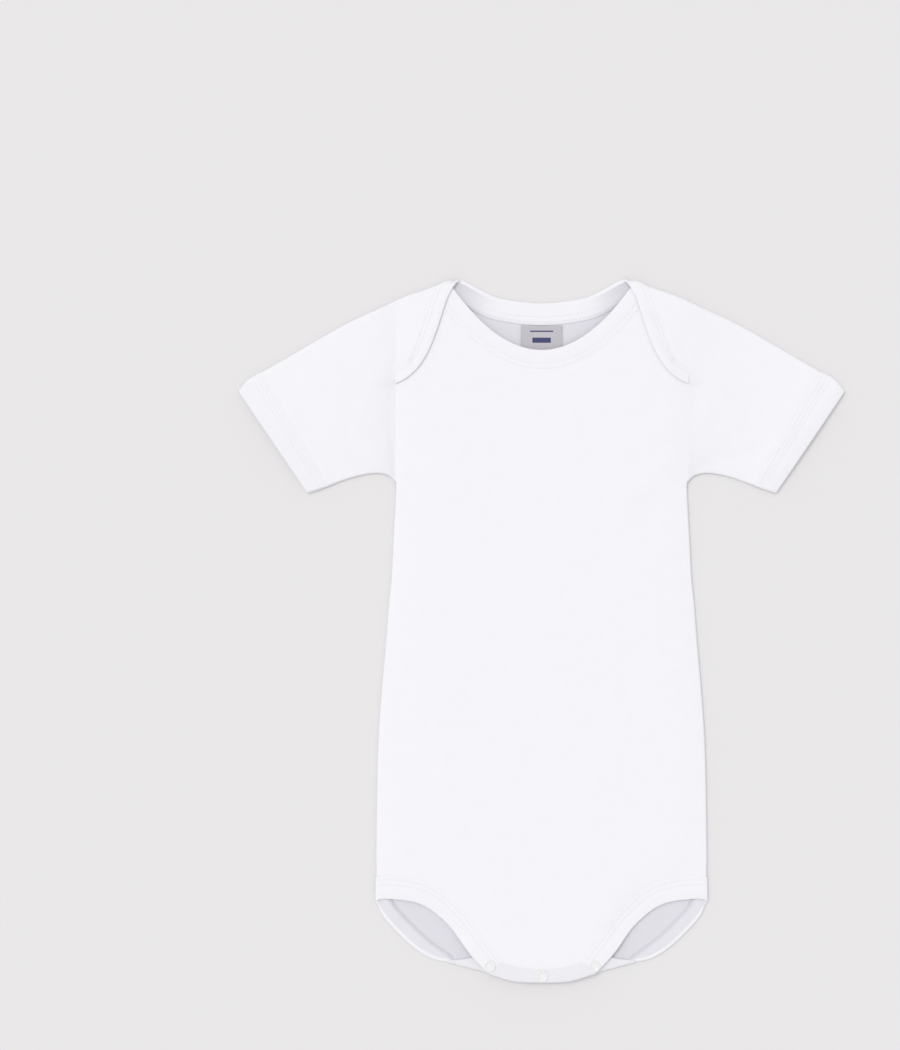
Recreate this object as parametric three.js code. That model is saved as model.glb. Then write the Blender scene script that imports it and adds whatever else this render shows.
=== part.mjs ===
// A short-sleeved baby bodysuit with lap shoulders and a snap crotch, laid flat on its back.
// Millimetres: X runs across the garment, Y from the crotch to the neck, Z up from the table.
// The back panel lies on the table, the front lies on the back, and the back's shoulder flaps
// fold over the front.

import * as THREE from "three";

// Cloth
const WALL = 1.2;
const BINDING = 1.6;
const SEAM = 0.3;
const LAYER = WALL + SEAM;
const BINDING_STEP = BINDING - WALL;

// How high the front stands over the back, and over the snaps at the crotch
const PUFF = 1.8;
const STUD_HEIGHT = 0.9;
const CROTCH_FOLD_HEIGHT = LAYER + WALL;
const TAB_LIFT = CROTCH_FOLD_HEIGHT + STUD_HEIGHT + 2 * SEAM;

// Body
const ARMHOLE_X = 94.5;
const HIP_X = 107.9;
const SIDE_OUTLINE = [
  { along: 91, half: ARMHOLE_X }, { along: 60, half: 96.2 },
  { along: 33, half: 97.6 }, { along: 20, half: 99 }, { along: -6, half: 101 },
  { along: -32, half: 103.3 }, { along: -71, half: 106 }, { along: -110, half: 107 },
  { along: -149, half: 107.5 }, { along: -158, half: HIP_X }, { along: -230, half: HIP_X },
];
const SHOULDER_FOLD = [
  { across: 45, along: 232 }, { across: 56.9, along: 225.7 }, { across: 60, along: 224 },
  { across: 68.3, along: 219.7 }, { across: 80, along: 215.9 }, { across: ARMHOLE_X, along: 212.6 },
];

// Neck
const NECK_BINDING_WIDTH = 13;
const FRONT_NECK = { lowest: 182.7, rise: 0.0122, halfWidth: 57.5 };
const BACK_NECK = { lowest: 213.2, rise: 0.0044, halfWidth: 53 };
const FLAP_EDGE = [
  { across: 60.6, along: 217.6, steps: 2 }, { across: 64, along: 208, steps: 2 },
  { across: 69.2, along: 192.4, steps: 2 }, { across: 74.2, along: 179.4, steps: 2 },
  { across: 81.7, along: 168.2, steps: 2 }, { across: 93, along: 160.8, steps: 1 },
];
const PEAK_X = 57.4;
const FRONT_HIDDEN_EDGE = 3;

// Leg openings, right side: the edge and the seam of the binding, from the front tab to the
// hip, and on along the back
const FRONT_LEG_ROWS = [
  { edge: [35.4, -221.4], seam: [25.8, -212.6], steps: 2 },
  { edge: [46.2, -209.6], seam: [36.4, -201], steps: 3 },
  { edge: [61.1, -192.4], seam: [51.2, -182.4], steps: 3 },
  { edge: [77.4, -179], seam: [71, -165.4], steps: 3 },
  { edge: [95, -174.4], seam: [93, -159.6], steps: 2 },
];
const BACK_LEG_ROWS = [
  { edge: [103.6, -184.2], seam: [95.4, -176.4], steps: 2 },
  { edge: [94.9, -194.4], seam: [88, -187.2], steps: 2 },
  { edge: [81, -207], seam: [76, -199], steps: 2 },
  { edge: [70, -213], seam: [67.6, -204], steps: 1 },
  { edge: [61, -214.8], seam: [60.4, -205.4], steps: 1 },
];
const HIP_EDGE = { front: -174.4, back: -176 };
const HIP_SEAM = { front: -159.2, back: -160.4 };

// Crotch
const CROTCH_OUTLINE = [
  { across: -10, along: -227.5 }, { across: 0, along: -227.7 }, { across: 17.5, along: -226.9 },
  { across: 35.1, along: -221.9 }, { across: 50, along: -218 }, { across: 61, along: -215 },
];
const PLACKET_TOP = { lowest: -218.6, rise: 0.0066 };
const FRONT_TAB_HALF = 34.6;
const BACK_TAB_HALF = 59.6;
const BACK_TAB_DEPTH = 9.5;
const BACK_TAB_EDGE = [
  { across: -20, along: -206 }, { across: 0, along: -206 }, { across: 36, along: -206.6 },
  { across: 46.2, along: -209.2 }, { across: 59.6, along: -213 },
];

// Sleeve, right side: the underarm line and the shoulder line, from the armhole to the cuff
const UNDERARM_LINE = [
  { across: 95.1, along: 97 }, { across: 98.6, along: 100.6 }, { across: 106.6, along: 102.7 },
  { across: 118, along: 101.2 }, { across: 129, along: 98 }, { across: 137.6, along: 95 },
];
const SHOULDER_LINE = [
  { across: 95.1, along: 214.5 }, { across: 108, along: 208.2 }, { across: 126, along: 199.7 },
  { across: 144.3, along: 189.3 }, { across: 162, along: 178.6 }, { across: 179.8, along: 166.9 },
];
const CUFF_START = { low: [138.2, 94.2], high: [181, 168.8] };
const CUFF_END = { low: [152, 89.6], high: [197, 156] };
const CUFF_WALL = 1.6;
const SLEEVE_PUFF = 1.5;
const CUFF_PUFF = 1.2;

// Snaps and label
const CAP_RADIUS = 4;
const CAP_HOLE_RADIUS = 2.3;
const CAP_HEIGHT = 0.9;
const STUD_RADIUS = 3.5;
const SNAPS = [
  { name: "left", across: -34, along: -216.8 },
  { name: "middle", across: 0, along: -223.4 },
  { name: "right", across: 34, along: -216.8 },
];
const LABEL = { width: 26.6, length: 29, thickness: 0.8 };

// Mesh fineness
const FRONT_ROWS = 16;
const SIDE_ROWS = 9;
const ROLL_ROWS = 6;
const FLAP_ROWS = 3;
const TAIL_STEP = 0.8;
const COLUMN_GAP = 0.5;
const RING_STEPS = 8;
const ARC_STEPS = 4;

const CLOTH = new THREE.MeshStandardMaterial({ color: 0xf6f5fa, roughness: 0.95, metalness: 0 });
const RIB = new THREE.MeshStandardMaterial({ color: 0xf4f3f8, roughness: 0.95, metalness: 0 });
const WOVEN = new THREE.MeshStandardMaterial({ color: 0xcfced4, roughness: 0.7, metalness: 0 });
const PLASTIC = new THREE.MeshStandardMaterial({ color: 0xf0f0f2, roughness: 0.4, metalness: 0 });

function mix(from, to, share) {
  return from + (to - from) * share;
}

function ease(from, to, value) {
  const share = Math.min(1, Math.max(0, (value - from) / (to - from)));
  return share * share * (3 - 2 * share);
}

// A smooth function through the rows of a table, straight beyond its ends
function tableCurve(rows, key, result) {
  const sorted = [...rows].sort((a, b) => a[key] - b[key]);
  const slopeAt = (index) => {
    const before = sorted[Math.max(0, index - 1)];
    const after = sorted[Math.min(sorted.length - 1, index + 1)];
    return (after[result] - before[result]) / (after[key] - before[key]);
  };
  return (value) => {
    const after = sorted.findIndex((row) => row[key] > value);
    if (after <= 0) {
      const index = after === 0 ? 0 : sorted.length - 1;
      return sorted[index][result] + slopeAt(index) * (value - sorted[index][key]);
    }
    const [a, b] = [sorted[after - 1], sorted[after]];
    const span = b[key] - a[key];
    const t = (value - a[key]) / span;
    const bend = t * t * (3 - 2 * t);
    const startPull = t * (1 - t) * (1 - t) * span * slopeAt(after - 1);
    const endPull = t * t * (1 - t) * span * slopeAt(after);
    return mix(a[result], b[result], bend) + startPull - endPull;
  };
}

// The height of a line of points at one place across
function lineAt(points, x) {
  const after = Math.max(1, points.findIndex((point) => point.x > x));
  const end = x >= points[points.length - 1].x ? points.length - 1 : after;
  const [a, b] = [points[end - 1], points[end]];
  return mix(a.y, b.y, (x - a.x) / (b.x - a.x));
}

const sideOutline = tableCurve(SIDE_OUTLINE, "along", "half");
const shoulderFold = tableCurve(SHOULDER_FOLD, "across", "along");
const crotchOutline = tableCurve(CROTCH_OUTLINE, "across", "along");
const backTabEdge = tableCurve(BACK_TAB_EDGE, "across", "along");

function halfWidth(y) {
  if (y > SIDE_OUTLINE[0].along) return ARMHOLE_X;
  return Math.min(HIP_X, sideOutline(y));
}

// 1 well inside the body, 0 at the side seam and the armhole
function insideBody(x, y) {
  return Math.max(0, 1 - Math.abs(x / halfWidth(y)) ** 8);
}

// Height of the underside of the front cloth
function frontLift(x, y) {
  const inside = insideBody(x, y);
  const bindingRoom = BINDING_STEP * Math.max(inside, ease(-140, -158, y));
  const puff = PUFF * inside * ease(0, 30, shoulderFold(Math.abs(x)) - y);
  return mix(LAYER + bindingRoom + puff, TAB_LIFT, ease(-178, -203, y));
}

// Height of the underside of a shoulder flap, which lies on the front
function flapLift(x, y) {
  return frontLift(x, y) + LAYER + BINDING_STEP * insideBody(x, y);
}

function rollHeight(x) {
  const y = shoulderFold(Math.abs(x));
  return flapLift(x, y) + WALL;
}

function rollLength(x) {
  return Math.PI * (rollHeight(x) - WALL) / 2;
}

// A point of the front cloth: depth is measured down from its outer face
function layFront(x, y, depth, thickness) {
  return new THREE.Vector3(x, y, frontLift(x, y) + thickness - depth);
}

// A point of the back cloth. The cloth is flat up to the shoulder fold, rolls over it, and
// comes back down on the front: cut is the distance up the cloth before it is folded.
function layBack(x, cut, depth, thickness) {
  const fold = shoulderFold(Math.abs(x));
  const past = cut - fold;
  if (past <= 0) return new THREE.Vector3(x, cut, depth);
  const roll = rollLength(x);
  if (past < roll) {
    const angle = Math.PI * past / roll;
    const radius = (rollHeight(x) + thickness - WALL) / 2;
    const y = fold + (radius - depth) * Math.sin(angle);
    return new THREE.Vector3(x, y, radius - (radius - depth) * Math.cos(angle));
  }
  const y = fold - (past - roll);
  return new THREE.Vector3(x, y, flapLift(x, y) + thickness - depth);
}

// Where a point seen on a flap lies on the cloth before it is folded
function cutOfFlap(x, y) {
  return 2 * shoulderFold(x) + rollLength(x) - y;
}

function geometryOf(corners) {
  const volume = new THREE.Vector3();
  let signed = 0;
  for (let i = 0; i < corners.length; i += 3) {
    signed += volume.crossVectors(corners[i], corners[i + 1]).dot(corners[i + 2]);
  }
  const ordered = signed < 0 ? [...corners].reverse() : corners;
  return new THREE.BufferGeometry().setFromPoints(ordered);
}

// A closed sheet from a grid of points, each with a place on both faces of the cloth
function sheetSolid(grid) {
  const corners = [];
  const quad = (a, b, c, d) => corners.push(a, b, c, a, c, d);
  const lastRow = grid.length - 1;
  const lastColumn = grid[0].length - 1;
  for (let i = 0; i < lastRow; i += 1) {
    for (let j = 0; j < lastColumn; j += 1) {
      const [a, b, c, d] = [grid[i][j], grid[i + 1][j], grid[i + 1][j + 1], grid[i][j + 1]];
      quad(a.outer, b.outer, c.outer, d.outer);
      quad(d.inner, c.inner, b.inner, a.inner);
    }
    const [start, next] = [grid[i][0], grid[i + 1][0]];
    quad(start.outer, start.inner, next.inner, next.outer);
    const [end, endNext] = [grid[i][lastColumn], grid[i + 1][lastColumn]];
    quad(end.inner, end.outer, endNext.outer, endNext.inner);
  }
  for (let j = 0; j < lastColumn; j += 1) {
    const [first, second] = [grid[0][j], grid[0][j + 1]];
    quad(first.inner, first.outer, second.outer, second.inner);
    const [last, lastNext] = [grid[lastRow][j], grid[lastRow][j + 1]];
    quad(last.outer, last.inner, lastNext.inner, lastNext.outer);
  }
  return geometryOf(corners);
}

// A flattened tube, open at both ends, from rings with a place on both faces of the wall
function tubeSolid(rings) {
  const corners = [];
  const quad = (a, b, c, d) => corners.push(a, b, c, a, c, d);
  const count = rings[0].length;
  for (let j = 0; j < count; j += 1) {
    const next = (j + 1) % count;
    for (let i = 0; i < rings.length - 1; i += 1) {
      const [a, b, c, d] = [rings[i][j], rings[i + 1][j], rings[i + 1][next], rings[i][next]];
      quad(a.outer, b.outer, c.outer, d.outer);
      quad(d.inner, c.inner, b.inner, a.inner);
    }
    const [first, last] = [rings[0], rings[rings.length - 1]];
    quad(first[j].inner, first[j].outer, first[next].outer, first[next].inner);
    quad(last[j].outer, last[j].inner, last[next].inner, last[next].outer);
  }
  return geometryOf(corners);
}

function mirrored(geometry) {
  const position = geometry.getAttribute("position");
  const corners = [];
  for (let i = 0; i < position.count; i += 1) {
    corners.push(new THREE.Vector3(-position.getX(i), position.getY(i), position.getZ(i)));
  }
  return geometryOf(corners);
}

// Stations along the edge of a binding. The rows' steps say how finely a stretch is cut.
// cloth is the side that the panel is on: 1 is left of the way along the edge.
function edgeStations(rows, cloth) {
  const points = rows.map((row) => new THREE.Vector3(row.x, row.y, 0));
  const curve = new THREE.CatmullRomCurve3(points, false, "centripetal");
  const stations = [];
  rows.forEach((row, index) => {
    const steps = index === rows.length - 1 ? 1 : row.steps;
    const next = rows[Math.min(index + 1, rows.length - 1)];
    for (let k = 0; k < steps; k += 1) {
      const t = (index + k / steps) / (rows.length - 1);
      const edge = curve.getPoint(t);
      const way = curve.getTangent(t);
      const inward = new THREE.Vector3(-way.y * cloth, way.x * cloth, 0);
      stations.push({ edge, inward, width: mix(row.width, next.width, k / steps) });
    }
  });
  return stations;
}

function stationPoint(station, distance) {
  return station.edge.clone().addScaledVector(station.inward, distance);
}

function seamLine(stations) {
  return stations.map((station) => stationPoint(station, station.width));
}

// A folded strip of binding, rounded along its finished edge
function bindingSolid(stations, lay) {
  const rounding = 0.45;
  return sheetSolid(stations.map((station) => [0, 0.07, 0.36, 0.68, 1].map((share) => {
    const place = stationPoint(station, share * station.width);
    const taper = share === 0 ? rounding : 0;
    return {
      outer: lay(place.x, place.y, taper, BINDING),
      inner: lay(place.x, place.y, BINDING - taper, BINDING),
    };
  })));
}

function bothSides(rows) {
  const left = [...rows].reverse().map((row, index, all) => {
    const steps = index === all.length - 1 ? 0 : all[index + 1].steps;
    return { ...row, x: -row.x, steps };
  });
  return [...left.slice(0, -1), ...rows];
}

function neckRows(neck, count) {
  return Array.from({ length: count + 1 }, (_, index) => {
    const x = neck.halfWidth * index / count;
    const steps = index === count ? 3 : 1;
    return { x, y: neck.lowest + neck.rise * x * x, steps, width: NECK_BINDING_WIDTH };
  });
}

function frontNeckStations() {
  return edgeStations(bothSides(neckRows(FRONT_NECK, 9)), -1);
}

// The back neck edge runs on over each shoulder fold and down the edge of the flap
function backNeckStations() {
  const peak = { x: PEAK_X, y: shoulderFold(PEAK_X) + rollLength(PEAK_X) / 2, steps: 6 };
  const flap = FLAP_EDGE.map(({ across, along, steps }) => (
    { x: across, y: cutOfFlap(across, along), steps }
  ));
  const arm = [peak, ...flap].map((row) => ({ ...row, width: NECK_BINDING_WIDTH }));
  const stations = edgeStations(bothSides([...neckRows(BACK_NECK, 7), ...arm]), -1);
  stations.forEach((station) => {
    const room = ARMHOLE_X - Math.abs(station.edge.x);
    const spread = Math.abs(station.inward.x);
    station.seamWidth = station.width;
    if (spread * station.width > room) station.width = room / spread;
  });
  return stations;
}

function legRollRadius() {
  return (LAYER + BINDING_STEP + BINDING) / 2;
}

function legFoldX() {
  return HIP_X - legRollRadius();
}

function legRollLength() {
  return Math.PI * (legRollRadius() - BINDING / 2);
}

// The leg binding is followed round the hip on one flat strip, front first
function legStations() {
  const fold = legFoldX();
  const roll = legRollLength();
  const hip = [
    { edge: [fold, HIP_EDGE.front], seam: [fold, HIP_SEAM.front], steps: 5 },
    { edge: [fold + roll, HIP_EDGE.back], seam: [fold + roll, HIP_SEAM.back], steps: 3 },
  ];
  const unrolled = ([x, y]) => [2 * fold + roll - x, y];
  const back = BACK_LEG_ROWS.map((row) => (
    { ...row, edge: unrolled(row.edge), seam: unrolled(row.seam) }
  ));
  const rows = [...FRONT_LEG_ROWS, ...hip, ...back];
  const curveOf = (line) => {
    const points = rows.map((row) => new THREE.Vector3(...row[line], 0));
    return new THREE.CatmullRomCurve3(points, false, "centripetal");
  };
  const edgeCurve = curveOf("edge");
  const seamCurve = curveOf("seam");
  return rows.flatMap((row, index) => {
    const steps = index === rows.length - 1 ? 1 : row.steps;
    return Array.from({ length: steps }, (_, k) => {
      const t = (index + k / steps) / (rows.length - 1);
      const edge = edgeCurve.getPoint(t);
      const inward = seamCurve.getPoint(t).sub(edge);
      const width = inward.length();
      return { edge, inward: inward.normalize(), width };
    });
  });
}

function layLeg(x, y, depth, thickness) {
  const fold = legFoldX();
  const roll = legRollLength();
  if (x <= fold) return layFront(x, y, depth, thickness);
  if (x >= fold + roll) return new THREE.Vector3(2 * fold + roll - x, y, depth);
  const angle = Math.PI * (x - fold) / roll;
  const radius = legRollRadius();
  const reach = radius - depth;
  const top = frontLift(fold, y) + thickness - 2 * radius;
  const settle = top * (1 - (x - fold) / roll);
  return new THREE.Vector3(fold + reach * Math.sin(angle), y, radius + reach * Math.cos(angle) + settle);
}

const FRONT_NECK_STATIONS = frontNeckStations();
const BACK_NECK_STATIONS = backNeckStations();
const LEG_STATIONS = legStations();

const FRONT_NECK_SEAM = seamLine(FRONT_NECK_STATIONS);
const BACK_NECK_SEAM = BACK_NECK_STATIONS.map((station) => stationPoint(station, station.seamWidth));
const LEG_SEAM = seamLine(LEG_STATIONS);
const FRONT_LEG_SEAM = LEG_SEAM.filter((point) => point.x <= legFoldX() + 0.1);
const BACK_LEG_SEAM = LEG_SEAM
  .filter((point) => point.x >= legFoldX() + legRollLength() - 0.1)
  .map((point) => new THREE.Vector3(2 * legFoldX() + legRollLength() - point.x, point.y, 0))
  .reverse();
const SLOPED_SEAM = SEAM * 1.5;

function placketTop(x) {
  return PLACKET_TOP.lowest + PLACKET_TOP.rise * x * x;
}

function crotchFold(x) {
  return crotchOutline(Math.abs(x)) + CROTCH_FOLD_HEIGHT / 2;
}

// Lower edge of the front panel: the placket's seam, then the seam of the leg binding
function frontLowerEdge(x) {
  const across = Math.abs(x);
  if (across < FRONT_LEG_SEAM[0].x) return placketTop(across) + SEAM;
  return lineAt(FRONT_LEG_SEAM, across) + SLOPED_SEAM;
}

function backLowerEdge(x) {
  const across = Math.abs(x);
  if (across < BACK_LEG_SEAM[0].x) return crotchFold(across) + BACK_TAB_DEPTH;
  return lineAt(BACK_LEG_SEAM, across) + SLOPED_SEAM;
}

function frontUpperEdge(x) {
  const across = Math.abs(x);
  const hidden = shoulderFold(across) - FRONT_HIDDEN_EDGE;
  if (across > FRONT_NECK_SEAM[FRONT_NECK_SEAM.length - 1].x + COLUMN_GAP) return hidden;
  return Math.min(hidden, lineAt(FRONT_NECK_SEAM, across) - SLOPED_SEAM);
}

// Places across the body at its upper edge, from seam to seam
function frontColumns() {
  const neck = FRONT_NECK_SEAM.map((point) => point.x);
  const last = neck[neck.length - 1];
  const arm = [1, 2, 3, 4].map((step) => mix(last, ARMHOLE_X, step / 4));
  return [...[...arm].reverse().map((x) => -x), ...neck, ...arm];
}

function backColumns() {
  const right = [0];
  for (const { x } of BACK_NECK_SEAM) {
    if (x > right[right.length - 1] + COLUMN_GAP && x < ARMHOLE_X - COLUMN_GAP) right.push(x);
  }
  right.push(mix(right[right.length - 1], ARMHOLE_X, 0.5), ARMHOLE_X);
  return [...right.slice(1).reverse().map((x) => -x), ...right];
}

function bodyFront() {
  return sheetSolid(frontColumns().map((column) => {
    const share = column / ARMHOLE_X;
    const lower = frontLowerEdge(share * HIP_X);
    const upper = frontUpperEdge(column);
    return Array.from({ length: FRONT_ROWS + 1 }, (_, row) => {
      const y = mix(lower, upper, row / FRONT_ROWS);
      const x = share * halfWidth(y);
      return { outer: layFront(x, y, 0, WALL), inner: layFront(x, y, WALL, WALL) };
    });
  }));
}

// The rows of the back: up the flat part, over the roll, down the flap. A column that ends
// early keeps its last rows close together under its upper edge.
function bodyBack() {
  const rows = SIDE_ROWS + ROLL_ROWS + FLAP_ROWS;
  return sheetSolid(backColumns().map((column) => {
    const share = column / ARMHOLE_X;
    const across = Math.abs(column);
    const lower = backLowerEdge(share * HIP_X);
    const upper = lineAt(BACK_NECK_SEAM, across) - SLOPED_SEAM;
    const fold = shoulderFold(across);
    const roll = rollLength(across);
    const flapEnd = Math.max(upper, fold + roll + FLAP_ROWS * TAIL_STEP);
    return Array.from({ length: rows + 1 }, (_, row) => {
      let wanted = mix(lower, fold, row / SIDE_ROWS);
      if (row > SIDE_ROWS) wanted = fold + roll * (row - SIDE_ROWS) / ROLL_ROWS;
      const beyond = row - SIDE_ROWS - ROLL_ROWS;
      if (beyond > 0) wanted = mix(fold + roll, flapEnd, beyond / FLAP_ROWS);
      const cut = Math.min(wanted, upper - (rows - row) * TAIL_STEP);
      const x = share * halfWidth(cut);
      return { outer: layBack(x, cut, 0, WALL), inner: layBack(x, cut, WALL, WALL) };
    });
  }));
}

// One ring of a flattened tube, between a low and a high point on its outline
function flatRing(low, high, heightAt, inset) {
  const length = low.distanceTo(high);
  const lowRadius = heightAt(0) / 2;
  const highRadius = heightAt(1) / 2;
  const place = (distance, z) => {
    const spot = low.clone().lerp(high, distance / length);
    return new THREE.Vector3(spot.x, spot.y, z);
  };
  const ring = [];
  const flat = (share) => mix(lowRadius, length - highRadius, share);
  for (let k = 0; k < RING_STEPS; k += 1) ring.push(place(flat(k / RING_STEPS), inset));
  for (let k = 0; k < ARC_STEPS; k += 1) {
    const angle = Math.PI * k / ARC_STEPS;
    const reach = highRadius - inset;
    ring.push(place(flat(1) + reach * Math.sin(angle), highRadius - reach * Math.cos(angle)));
  }
  for (let k = 0; k < RING_STEPS; k += 1) {
    const distance = flat(1 - k / RING_STEPS);
    const share = (distance - lowRadius) / (length - highRadius - lowRadius);
    ring.push(place(distance, heightAt(share) - inset));
  }
  for (let k = 0; k < ARC_STEPS; k += 1) {
    const angle = Math.PI * k / ARC_STEPS;
    const reach = lowRadius - inset;
    ring.push(place(lowRadius - reach * Math.sin(angle), lowRadius + reach * Math.cos(angle)));
  }
  return ring;
}

function wallRing(low, high, heightAt, wall) {
  const outer = flatRing(low, high, heightAt, 0);
  const inner = flatRing(low, high, heightAt, wall);
  return outer.map((point, index) => ({ outer: point, inner: inner[index] }));
}

function lineCurve(rows) {
  const points = rows.map((row) => new THREE.Vector3(row.across, row.along, 0));
  return new THREE.CatmullRomCurve3(points, false, "centripetal");
}

// At the armhole the sleeve is as thick as the layers it is sewn to, flap included
function sleeve() {
  const underarm = lineCurve(UNDERARM_LINE);
  const shoulder = lineCurve(SHOULDER_LINE);
  const stations = 10;
  const rings = Array.from({ length: stations + 1 }, (_, index) => {
    const way = index / stations;
    const heightAt = (share) => {
      const flapStep = LAYER * ease(0.42, 0.6, share) * (1 - ease(0, 0.5, way));
      const puff = SLEEVE_PUFF * Math.sin(Math.PI * share) * ease(-0.15, 0.3, way);
      return LAYER + WALL + flapStep + puff;
    };
    return wallRing(underarm.getPoint(way), shoulder.getPoint(way), heightAt, WALL);
  });
  return tubeSolid(rings);
}

function cuff() {
  const corner = ([x, y]) => new THREE.Vector3(x, y, 0);
  const heightAt = (share) => 2 * CUFF_WALL + SEAM + CUFF_PUFF * Math.sin(Math.PI * share);
  const rings = [0, 0.5, 1].map((share) => {
    const low = corner(CUFF_START.low).lerp(corner(CUFF_END.low), share);
    const high = corner(CUFF_START.high).lerp(corner(CUFF_END.high), share);
    return wallRing(low, high, heightAt, CUFF_WALL);
  });
  return tubeSolid(rings);
}

// The front tab's band lies between the seams of the leg bindings
function placketFront() {
  const columns = 20;
  const start = LEG_STATIONS[0];
  const bindingEnd = [stationPoint(start, start.width), start.edge];
  return sheetSolid(Array.from({ length: columns + 1 }, (_, index) => {
    const x = mix(-FRONT_TAB_HALF, FRONT_TAB_HALF, index / columns);
    const across = Math.abs(x);
    const beside = across > bindingEnd[0].x ? lineAt(bindingEnd, across) - SEAM * 2 : Infinity;
    const upper = Math.min(placketTop(across) - SEAM, beside);
    const lower = Math.min(crotchOutline(across), upper - 1);
    return [0, 0.1, 0.5, 1].map((share) => {
      const y = mix(lower, upper, share);
      const taper = share === 0 ? 0.45 : 0;
      return {
        outer: layFront(x, y, taper, BINDING),
        inner: layFront(x, y, BINDING - taper, BINDING),
      };
    });
  }));
}

// The back tab turns up round the crotch fold and lies under the front tab
function layBackTab(x, past, depth) {
  const fold = crotchFold(x);
  const radius = CROTCH_FOLD_HEIGHT / 2;
  const roll = Math.PI * (radius - WALL / 2);
  if (past <= 0) return new THREE.Vector3(x, fold - past, depth);
  if (past >= roll) return new THREE.Vector3(x, fold + past - roll, CROTCH_FOLD_HEIGHT - depth);
  const angle = Math.PI * past / roll;
  const reach = radius - depth;
  return new THREE.Vector3(x, fold - reach * Math.sin(angle), radius - reach * Math.cos(angle));
}

function placketBack() {
  const columns = 26;
  const roll = Math.PI * (CROTCH_FOLD_HEIGHT - WALL) / 2;
  const depth = BACK_TAB_DEPTH - 2 * SEAM;
  return sheetSolid(Array.from({ length: columns + 1 }, (_, index) => {
    const x = mix(-BACK_TAB_HALF, BACK_TAB_HALF, index / columns);
    const turnedUp = Math.max(0.5, backTabEdge(Math.abs(x)) - crotchFold(x));
    const stops = [-depth, -depth / 2, 0];
    for (let k = 1; k <= ARC_STEPS; k += 1) stops.push(roll * k / ARC_STEPS);
    stops.push(roll + turnedUp / 2, roll + turnedUp);
    return stops.map((past) => ({ outer: layBackTab(x, past, 0), inner: layBackTab(x, past, WALL) }));
  }));
}

function turnedUpright(profile) {
  const geometry = new THREE.LatheGeometry(profile.map(([r, z]) => new THREE.Vector2(r, z)), 20);
  geometry.rotateX(Math.PI / 2);
  return geometry;
}

// The open ring of a press snap
function snapCap() {
  const edge = 0.3;
  return turnedUpright([
    [CAP_HOLE_RADIUS, 0], [CAP_RADIUS, 0], [CAP_RADIUS, CAP_HEIGHT - edge],
    [CAP_RADIUS - edge, CAP_HEIGHT], [CAP_HOLE_RADIUS + edge, CAP_HEIGHT],
    [CAP_HOLE_RADIUS, CAP_HEIGHT - edge], [CAP_HOLE_RADIUS, 0],
  ]);
}

function snapStud() {
  const rim = STUD_HEIGHT * 0.55;
  return turnedUpright([
    [0, 0], [STUD_RADIUS, 0], [STUD_RADIUS, rim], [STUD_RADIUS * 0.55, rim],
    [STUD_RADIUS * 0.5, STUD_HEIGHT], [0, STUD_HEIGHT],
  ]);
}

function piece(name, geometry, material, place = [0, 0, 0]) {
  geometry.computeVertexNormals();
  const mesh = new THREE.Mesh(geometry, material);
  mesh.name = name;
  mesh.position.set(...place);
  return mesh;
}

function label() {
  const top = BACK_NECK.lowest - NECK_BINDING_WIDTH - SEAM;
  const place = [0, top - LABEL.length / 2, LAYER + LABEL.thickness / 2];
  return piece("label", new THREE.BoxGeometry(LABEL.width, LABEL.length, LABEL.thickness), WOVEN, place);
}

const bodysuit = new THREE.Group();
bodysuit.add(piece("body_back", bodyBack(), CLOTH));
bodysuit.add(piece("body_front", bodyFront(), CLOTH));
bodysuit.add(piece("neck_binding_front", bindingSolid(FRONT_NECK_STATIONS, layFront), RIB));
bodysuit.add(piece("neck_binding_back", bindingSolid(BACK_NECK_STATIONS, layBack), RIB));
bodysuit.add(piece("placket_front", placketFront(), RIB));
bodysuit.add(piece("placket_back", placketBack(), RIB));
bodysuit.add(label());

const rightSided = [
  { name: "sleeve", geometry: sleeve(), material: CLOTH },
  { name: "cuff", geometry: cuff(), material: RIB },
  { name: "leg_binding", geometry: bindingSolid(LEG_STATIONS, layLeg), material: RIB },
];
for (const { name, geometry, material } of rightSided) {
  bodysuit.add(piece(`${name}_left`, mirrored(geometry), material));
  bodysuit.add(piece(`${name}_right`, geometry, material));
}

for (const { name, across, along } of SNAPS) {
  const capBase = TAB_LIFT + BINDING + SEAM;
  const studBase = CROTCH_FOLD_HEIGHT + SEAM;
  bodysuit.add(piece(`snap_cap_${name}`, snapCap(), PLASTIC, [across, along, capBase]));
  bodysuit.add(piece(`snap_stud_${name}`, snapStud(), PLASTIC, [across, along, studBase]));
}

export default bodysuit;
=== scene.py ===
# %% [markdown]
# # A baby bodysuit, laid flat
# A white short-sleeved bodysuit lies on its back on a pale table. It is knitted cotton: two
# body panels, two sleeves, and folded strips that bind the neck, the cuffs and the legs. The
# back panel's shoulders fold forward over the front, so the neck can stretch over a head, and
# the crotch closes with three snaps.
#
# The construction model gives every piece its size and place. Here each solid is replaced by
# finer cloth of the same form, with knit, seams and stitches.

# %% Load the frame
import math
import random
import bmesh
import bpy
from mathutils import Matrix, Vector


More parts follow.
